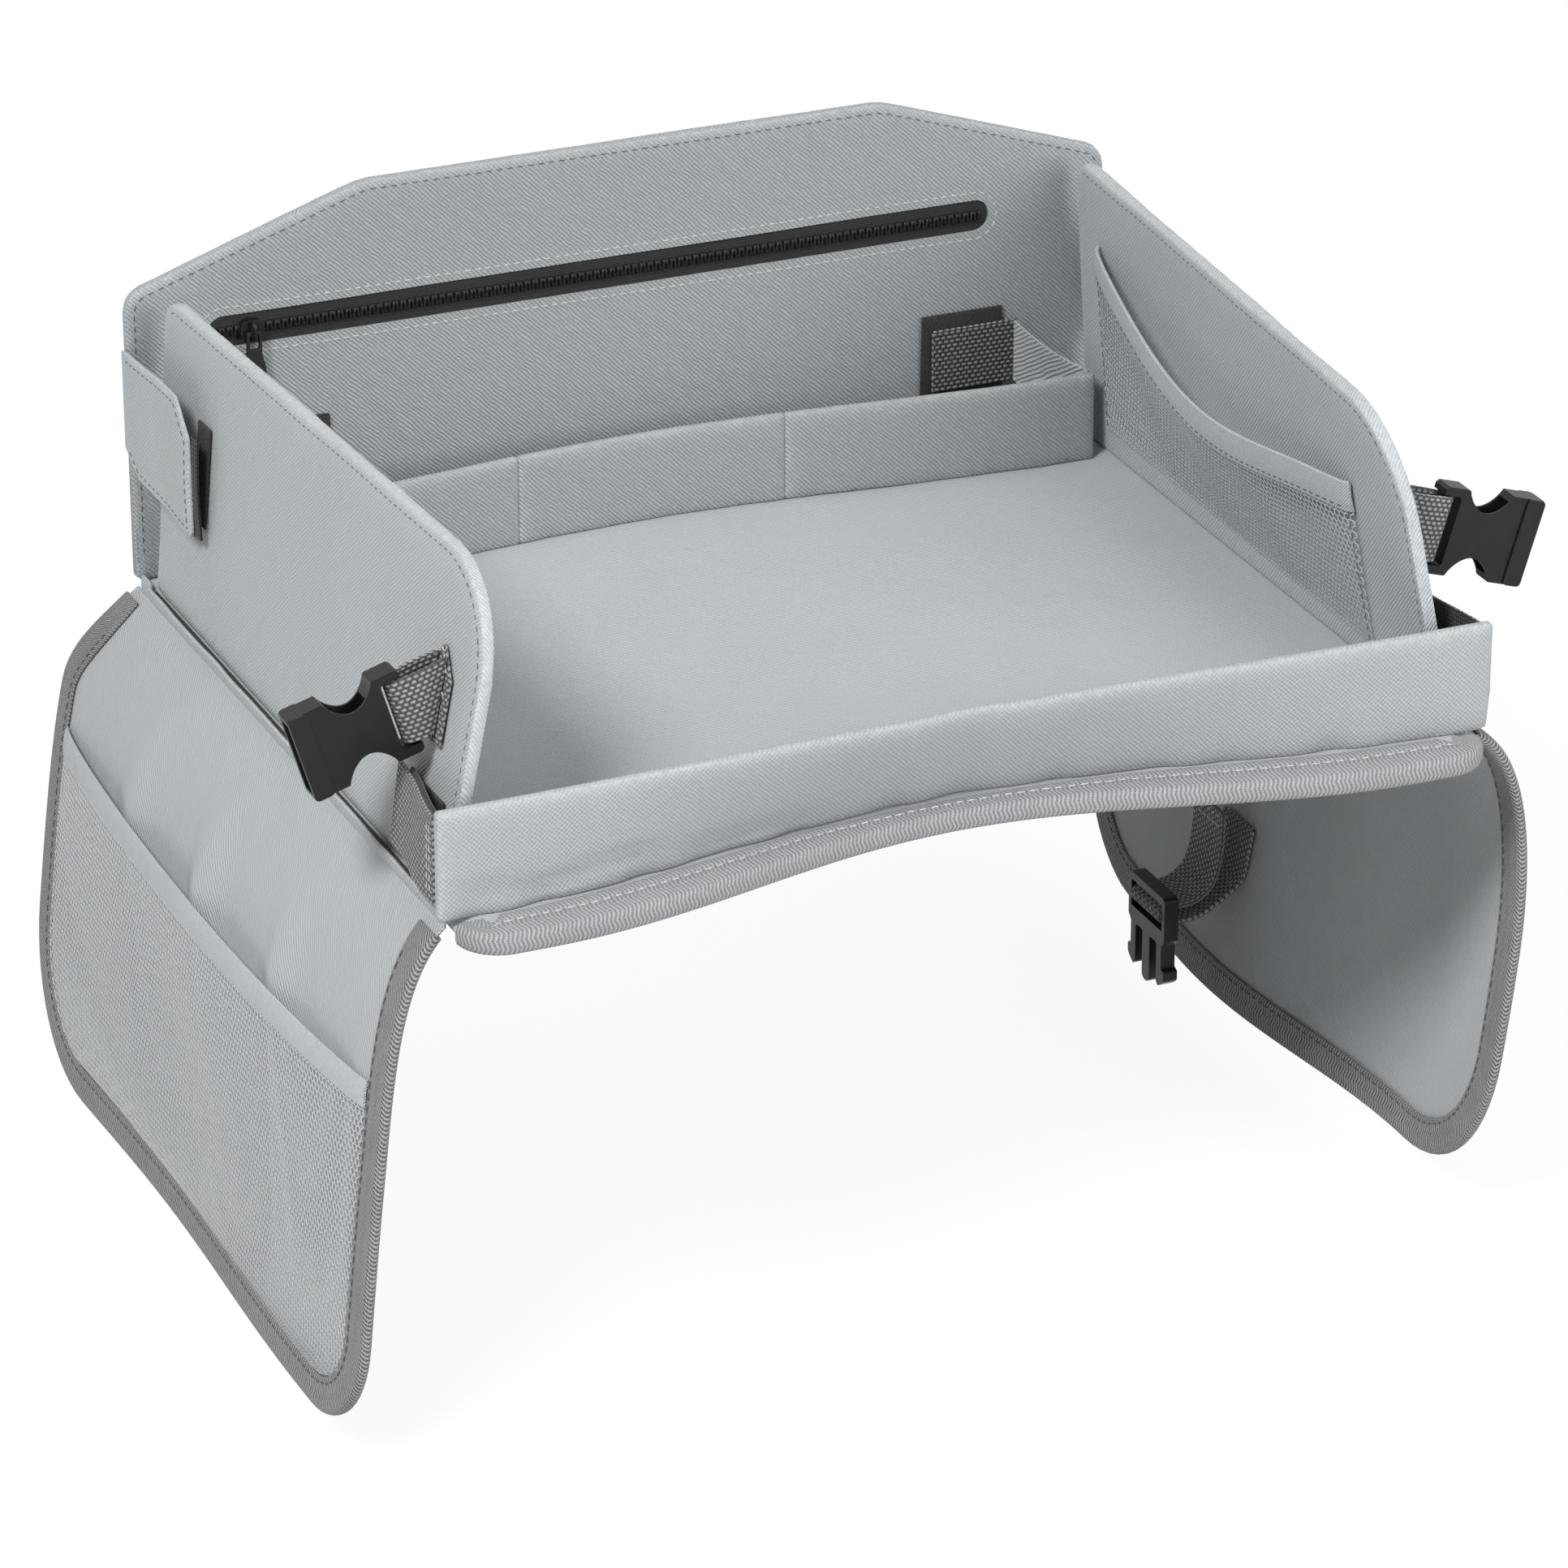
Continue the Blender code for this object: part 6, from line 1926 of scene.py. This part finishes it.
@dataclass
class SideFlap:
    """A hanging cloth flap with bound edges, and the large net pocket outside it."""

    side: Side
    shoulder: float
    lean: float
    fold_depth: float
    drop: float = 0.204
    rounding: float = 0.030
    fold_length: float = 0.280
    front_inset: float = 0.024
    front_flare: float = 0.006
    rear_flare: float = 0.025
    front_radius: float = 0.040
    rear_radius: float = 0.058
    tape: float = 0.012
    pocket_drop: float = 0.066
    hem_height: float = 0.0095
    bulge: float = 0.011
    rest: float = 0.0022
    swell: float = 0.0
    ridges: tuple[tuple[float, float, float], ...] = ()

    def __post_init__(self) -> None:
        """Work out the hanging line, by length of cloth."""
        self.origin = np.array([self.side.value * (HALF_WIDTH + 0.0011), 0.0, 0.0030])
        self.stations = np.linspace(0, self.drop * 1.02, 700)
        curve = self.shoulder / self.rounding * np.exp(-self.stations / self.rounding)
        self.slopes = np.minimum(curve + math.sin(self.lean), 0.98)
        step = self.stations[1]
        self.outs, self.downs = (
            np.concatenate([[0], np.cumsum((rates[1:] + rates[:-1]) / 2 * step)])
            for rates in (self.slopes, np.sqrt(1 - self.slopes**2))
        )

    def edges(self, drop: Array, inset: float = 0.0) -> tuple[Array, Array]:
        """Return the front and the rear edge at lengths down the cloth."""
        flare = self.front_flare * eased(drop / (self.drop / 2))
        front = FRONT_Y + self.front_inset - flare + inset
        rear = REAR_Y - 0.003 + self.rear_flare * eased(drop * 4 / self.drop) - inset
        cuts = []
        for radius in (self.front_radius - inset, self.rear_radius - inset):
            past = np.clip(drop - (self.drop - inset - radius), 0, radius)
            cuts.append(radius - np.sqrt(np.maximum(radius**2 - past**2, 0)))
        return front + cuts[0], rear - cuts[1]

    def lift(self, share: Array, drop: Array) -> Array:
        """Return how far the pocket stands off the cloth, from its slack top to its sewn foot."""
        end, top = self.drop - self.tape - 0.0012, self.pocket_drop + self.hem_height
        down = np.clip((drop - top) / (end - top), 0, 1)
        full = np.sin(pi * np.clip(share, 0, 1)) ** 0.7
        return self.rest + self.bulge * full * (1 - down) ** 1.3

    def slack(self, y: Array, drop: Array) -> Array:
        """Return how far the cloth's soft ridges stand out."""
        front, rear = self.edges(np.minimum(drop, self.drop - self.front_radius * 1.2), self.tape)
        share = np.clip((y - front) / (rear - front), 0, 1)
        wave = self.swell
        for centre, width, height in self.ridges:
            rise = ridge(share + 0.10 * (drop / self.drop - 0.35), centre, width)
            wave = np.maximum(wave, self.swell + (height - self.swell) * rise)
        return wave * eased((drop - 0.014) / 0.055) * (self.lift(share, drop) - self.rest) * 0.93

    def point(self, y: Array, drop: Array, lift: Real = 0.0) -> Array:
        """Return places on the cloth at lengths back and down it, raised by a lift."""
        y, drop, lift = np.broadcast_arrays(y, drop, lift)
        held = np.clip(drop, 0, self.drop * 1.02)
        out = np.interp(held, self.stations, self.outs)
        down = np.interp(held, self.stations, self.downs)
        slope = np.interp(held, self.stations, self.slopes)
        wave = np.cos(TAU * (y - 0.048) / self.fold_length)
        fold = -self.fold_depth * eased(held / self.drop) * wave
        x = out + fold + lift * np.sqrt(1 - slope**2)
        return np.stack([self.side.value * x, y, -down + lift * slope], -1) + self.origin

    def cloth(self, y: Array, drop: Array, lift: Real = 0.0) -> Array:
        """Return places on the cloth with its ridges."""
        return self.point(y, drop, self.slack(np.asarray(y), np.asarray(drop)) + lift)

    def drops(self, start: float, inset: float, radius: float, count: int) -> Array:
        """Return lengths down the cloth, stepped evenly round its lower corner."""
        corner = self.drop - inset - radius
        arc = corner + radius * np.sin(np.linspace(0, pi / 2, 15)[1:])
        return np.concatenate([start + (corner - start) * even(count) ** 1.15, arc])

    def dress(self, shop: Workshop) -> None:
        """Build the cloth, its binding and the pocket."""
        label = self.side.label
        body = f"{label}_flap"
        down = self.drops(0.0, 0.0, self.rear_radius, 46)
        front, rear = self.edges(down)
        share = even(110)
        y = front[:, None] + (rear - front)[:, None] * share
        drop = np.broadcast_to(down[:, None], y.shape)
        fine = 0.00025 * ripple(y + 0.3 * drop, 0.021) * eased(drop / 0.03)
        cloth = layer(f"{label}_flap_cloth", shop.cloth, self.cloth(y, drop, fine), FLAP_CLOTH)
        width = float((rear - front).max())
        tape, path = self.binding(shop)
        area = float((rear - front)[:-1] @ np.diff(down))
        shop.fit(cloth, body, Slot.FABRIC, f"{label}_flap")
        shop.fit(tape, body, Slot.TAPE, f"{label}_flap_tape")
        thread = Stitches(0.0028, 0.0017, 0.0005)
        at = path[:, 0], path[:, 1]
        out = self.cloth(*at, 0.005) - self.cloth(*at)
        for face in (1, -1):
            thread.row(self.cloth(*at, 0.0026 * face), out * face)
        self.dress_pocket(shop)
        self.dress_fold(shop)
        shop.fit(thread.finish(f"{label}_flap_stitches", shop.dark_thread), body, Slot.TAPE)

    def dress_fold(self, shop: Workshop) -> None:
        """Build the cloth's sewn top edge along the board, and a near-black strip inside it that
        stands for the gap's shadow: painted shadow.
        """
        front, rear = self.edges(np.array([0.0]))
        y = np.linspace(float(front[0]) + 0.0005, float(rear[0]) - 0.006, 90)[None, :]
        up = np.array([0.0, 0.15, 0.45, 0.75, 0.92, 1.0])[:, None]
        clear = eased((y - y.min() - 0.0135) / 0.008) * eased((y.max() - 0.0080 - y) / 0.008)
        lean = 0.0004 * np.sin(pi * up) + (0.0022 + 0.0006 * ripple(y, 0.05)) * up * clear
        out = self.origin[0] + self.side.value * lean
        z = self.origin[2] + 0.0001 + (0.0068 + 0.0006 * ripple(y, 0.07, 1.0)) * up
        edge = layer(f"{self.side.label}_fold_edge", shop.cloth, joined(out, y, z), FLAP_CLOTH, 0.2)
        shop.fit(edge, "tray", Slot.FABRIC)
        # A near-black strip laid in the gap between the fold edge and the board: painted shadow
        # where the gap falls dark.
        share = even(5)[:, None]
        wide = clear[0] > 0.8
        near, far = HALF_WIDTH + 0.0007, np.abs(out[4:5, wide]) - 0.0009
        across = self.side.value * (near + (far - near) * share)
        level = self.origin[2] + 0.0060 - 0.0003 * np.sin(pi * share)
        places = joined(across, y[:, wide], level)
        seam = layer(f"{self.side.label}_fold_seam", shop.fold_shadow_tape, places, 0.0005)
        shop.fit(seam, "tray", Slot.TAPE)

    def binding(self, shop: Workshop) -> tuple[Piece, Array]:
        """Return the tape folded round the free edges, and the line that its stitches follow."""
        front_drops = self.drops(0.0045, 0.0, self.front_radius, 46)
        rear_drops = self.drops(0.0045, 0.0, self.rear_radius, 46)
        front = np.stack([self.edges(front_drops)[0], front_drops], -1)
        rear = np.stack([self.edges(rear_drops)[1], rear_drops], -1)
        low = np.linspace(front[-1, 0], rear[-1, 0], 60)[1:-1]
        foot = np.stack([low, np.full(len(low), self.drop)], -1)
        path = np.concatenate([front, foot, rear[::-1]])
        along = np.gradient(path, axis=0)
        along = unit(along)
        along[0], along[-1] = (0, 1), (0, -1)
        inward = np.stack([along[:, 1], -along[:, 0]], -1)
        size = travel(path)
        plump = 0.0003 * ripple(size, 0.017)
        rows = []
        half, wall = 0.0017, 0.0011
        section = [(s, half) for s in (1.0, 0.82, 0.55, 0.25, 0.08)]
        turn = map(radians, range(72, -73, -18))
        section += [(-0.1 * math.cos(a), half * math.sin(a)) for a in turn]
        section += [(s, -half) for s in (0.08, 0.25, 0.55, 0.82, 1.0)]
        for share, lift in section:
            at = path + inward * (self.tape * share)
            puff = plump * np.sign(lift) * (0.1 < share < 0.9)
            rows.append(self.cloth(at[:, 0], at[:, 1], lift + puff))
        # The flap's tape takes the darker binding: painted shade.
        tape = layer(f"{self.side.label}_flap_binding", shop.painted_shade_flap_binding, grid(rows), wall)
        return tape, (path + inward * self.tape * 0.84)[4:-4]

    def dress_pocket(self, shop: Workshop) -> None:
        """Build the net and its pale hem."""
        body = f"{self.side.label}_flap"
        inset = self.tape + 0.0012
        top, end = self.pocket_drop + self.hem_height + SEAM_GAP, self.drop - inset

        def net_surface(a: Array, b: Array) -> Array:
            """Return places on the net from shares back and down it."""
            drop = top + (end - top) * b
            front, rear = self.edges(drop, inset)
            folds = 0.0008 * np.sin(17 * a + 3 * b) * np.sin(pi * np.clip(a, 0, 1))
            folds = folds * np.sin(pi * b)
            return self.point(front + (rear - front) * a, drop, self.lift(a, drop) + folds)

        front, rear = self.edges(np.array([top]), inset)
        width, height = float(rear[0] - front[0]), end - top
        share, down = np.meshgrid(even(120), even(7))
        drop = self.pocket_drop + self.hem_height * down
        front, rear = self.edges(drop, inset)
        roll = 0.0004 * np.sin(pi * down)
        lift = self.lift(share, drop * 0 + top) + roll
        places = self.point(front + (rear - front) * share, drop, lift)
        shop.pocket(body, f"{body}_cloth", net_surface, places, (width, height), 0.49)


@dataclass
class ClipStrap:
    """The adjusting strap sewn inside the right flap, and the prong half of a buckle on it."""

    flap: SideFlap
    at: float = 0.048
    seam_drop: float = 0.150
    reach: float = 0.034
    tail: float = 0.040
    width: float = 0.032
    length: float = 0.042
    thickness: float = 0.0062

    def dress(self, shop: Workshop) -> None:
        """Build the strap's loop and the clip that hangs in it."""
        flap = self.flap
        seam = flap.point(self.at, self.seam_drop, -0.0019)
        radius = 0.0032 * 0.4 + 0.0011 + WEB_THICKNESS / 2
        bar_z = seam[2] - self.reach * 0.36

        def along(share: float, height: float) -> Array:
            """Return a point by its share of the way from the seam to the bar, and its height."""
            return np.array([seam[0] - self.reach * share, self.at, bar_z + height])

        path = [flap.point(self.at, self.seam_drop - rise, -0.0019) for rise in (0.018, 0.009, 0.0)]
        path.append(along(0.08, self.reach * 0.36 - radius * 1.4))
        path += [along(0.34, self.reach * 0.10 - radius * 0.6), along(0.64, -radius)]
        for angle in np.linspace(pi / 2, pi * 1.5, 13):
            path.append(along(1 - radius * math.cos(angle) / self.reach, -radius * math.sin(angle)))
        path += [along(0.66, radius * 1.2), along(0.46, radius * 2.6)]
        tail = ((0.36, 0.38), (0.31, 0.64), (0.29, 1.0))
        path += [along(share, self.tail * high) for share, high in tail]
        line = smooth_path(path)
        band = ribbon(line, np.array([0, 1.0, 0]), WEB_WIDTH, 15)
        strap = layer("clip_webbing", shop.webbing, band.transpose(1, 0, 2), WEB_THICKNESS)
        shop.fit(strap, "right_flap", Slot.WEBBING, "clip_strap")
        thread = Stitches(0.0026, 0.0012, 0.0006)
        up = normals(band)
        for row in (-4, -9):
            for face in (-1, 1):
                out = up[row, 1:-1] * face
                thread.row(band[row, 1:-1] + out * WEB_THICKNESS / 2, out)
        sewn = thread.finish("clip_webbing_stitches", shop.pale_thread)
        shop.fit(sewn, "right_flap", Slot.WEBBING)
        shop.fit(self.clip(Frame(along(1, 0)), shop.plastic), "clip", Slot.PLASTIC, "clip")

    def clip(self, frame: Frame, plastic: Material) -> Piece:
        """Return the prong half, in a frame on its strap bar."""

        def place(u: Array, v: Array, w: Array) -> Array:
            """Return places from lengths across the clip, up it and through it."""
            return frame.world(w, u, v)

        half, bar, slot, barb, prong = self.width / 2, 0.00128, WEB_SLOT, 0.0024, 0.0042
        top = bar + slot + 0.0032
        shoulder, tip = -(bar + slot + 0.0032 * 1.3), top - self.length
        outer, guide = half - barb, 0.0032
        inner = outer - prong
        right = [
            (half, top, 0.0022), (half, shoulder, 0.0008), (outer, shoulder - barb, 0.0010),
            (outer, tip + prong * 2.6, 0.0006), (half, tip + prong * 2.4, 0.0007),
            (half, tip + prong * 1.4, 0.0022), (inner + prong * 0.4, tip + barb, 0.0012),
            (inner, tip + prong, 0.0010), (inner, shoulder - barb, 0.0012),
            (guide, shoulder - barb, 0.0010), (guide, tip, 0.0028),
        ]
        outline = rounded(right + [(-u, v, r) for u, v, r in reversed(right)], 5)
        depth = self.thickness / 2
        clip = prism("prong_clip", outline, -depth, depth, place)
        thin, deep = bar * 1.2, depth * 2
        for foot, top, low, high in (
            (bar, bar + slot, -deep, deep), (-bar - slot, -bar, -deep, deep),
            (-thin, thin, bar, deep), (-thin, thin, -deep, -bar),
        ):
            outline = rectangle(-SLOT_HALF, foot, SLOT_HALF, top)
            combine(clip, prism("cutter", outline, low, high, place))
        moulded(clip, plastic, 0.0005)
        return clip


@dataclass
class Studio:
    """The photograph's viewing angle, a pale floor and soft plain light."""

    place: tuple[float, float, float] = (-1.0564, -2.4174, 1.1808)
    aim: tuple[float, float, float] = (0.3614, 0.8319, -0.4211)
    lens: float = 177.02
    floor: float = -0.2085

    def camera(self) -> None:
        """Place the camera."""
        made = placed("camera", bpy.data.cameras.new("camera"))
        made.location = self.place
        made.rotation_euler = Vector(self.aim).to_track_quat("-Z", "Y").to_euler()
        made.data.lens = self.lens
        made.data.sensor_width = 36.0
        made.data.clip_end = 100.0
        bpy.context.scene.camera = made

    def seen(self, graph: Graph) -> Wire:
        """Return 1 on rays from the camera, from gloss and through glass."""
        path = graph.node("ShaderNodeLightPath")
        direct = path.out("Is Camera Ray").math("MAXIMUM", path.out("Is Glossy Ray"))
        return direct.math("MAXIMUM", path.out("Is Transmission Ray"))

    def ground(self) -> None:
        """Lay the pale floor, white to the camera but for the object's soft shadow."""
        mesh = bpy.data.meshes.new("floor")
        size = 12.0
        ends = ((-size, -size), (size, -size), (size, size), (-size, size))
        corners = [(x, y, self.floor) for x, y in ends]
        mesh.from_pydata(corners, [], [(0, 1, 2, 3)])
        made = placed("floor", mesh)
        graph = Graph("pale_floor")
        graph.feed(Base_Color=(0.62, 0.62, 0.62, 1.0), Roughness=0.9, Specular_IOR_Level=0.1)
        light = graph.node("ShaderNodeEmission", {}, {"Color": (1, 1, 1, 1), "Strength": 1.11})
        share = self.seen(graph) * 0.82
        both = graph.node("ShaderNodeMixShader", {}, {0: share, 2: light})
        graph.tree.links.new(graph.shader.outputs[0], both.socket.node.inputs[1])
        graph.tree.links.new(both.socket, graph.tree.nodes["Material Output"].inputs["Surface"])
        mesh.materials.append(graph.material)

    def light(self) -> None:
        """Set the white surroundings and the soft lamps."""
        world = bpy.data.worlds.new("surroundings")
        bpy.context.scene.world = world
        world.use_nodes = True
        graph = Graph.__new__(Graph)
        graph.tree = world.node_tree
        back = graph.tree.nodes["Background"]
        graph.tree.links.new((self.seen(graph) * 0.68 + 0.32).socket, back.inputs["Strength"])
        back.inputs["Color"].default_value = (1.0, 1.0, 1.0, 1.0)
        for name, place, size, power in (
            ("key", (-1.9, -1.45, 2.4), 0.9, 90.0), ("top", (0.5, 0.3, 2.6), 2.0, 15.0),
            ("fill", (1.0, -2.5, 0.9), 1.8, 46.0),
        ):
            lamp = bpy.data.lights.new(name, "AREA")
            lamp.shape = "DISK"
            lamp.size = size
            lamp.energy = power
            made = placed(name, lamp)
            made.location = place
            made.rotation_euler = (-Vector(place)).to_track_quat("-Z", "Y").to_euler()
        bpy.context.scene.view_settings.view_transform = "Standard"


def main() -> None:
    """Build the tray's pieces from the board outwards and set them in the studio."""
    logging.basicConfig(level=logging.INFO, format="%(name)s: %(message)s")
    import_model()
    shop, rail = Workshop(), FrontRail()
    Board().dress(shop, rail)
    rail.dress(shop)
    Divider().dress(shop)
    BackWall().dress(shop)
    for side in Side:
        SideWall(side).dress(shop)
    left = ((0.02, 0.030, 1.0), (0.25, 0.040, 1.0), (0.49, 0.040, 1.0), (0.73, 0.045, 1.0))
    right = ((0.20, 0.070, 0.7), (0.48, 0.080, 0.6), (0.78, 0.070, 0.8))
    SideFlap(Side.LEFT, 0.021, radians(5.2), 0.0015, swell=0.42, ridges=left).dress(shop)
    lean = radians(-9)
    right_flap = SideFlap(Side.RIGHT, 0.038, lean, 0.0060, front_radius=0.060, ridges=right)
    right_flap.dress(shop)
    ClipStrap(right_flap).dress(shop)
    studio = Studio()
    studio.camera()
    studio.ground()
    studio.light()
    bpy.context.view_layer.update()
    LOG.info("%d pieces fitted", shop.fitted)


if __name__ == "__main__":
    main()
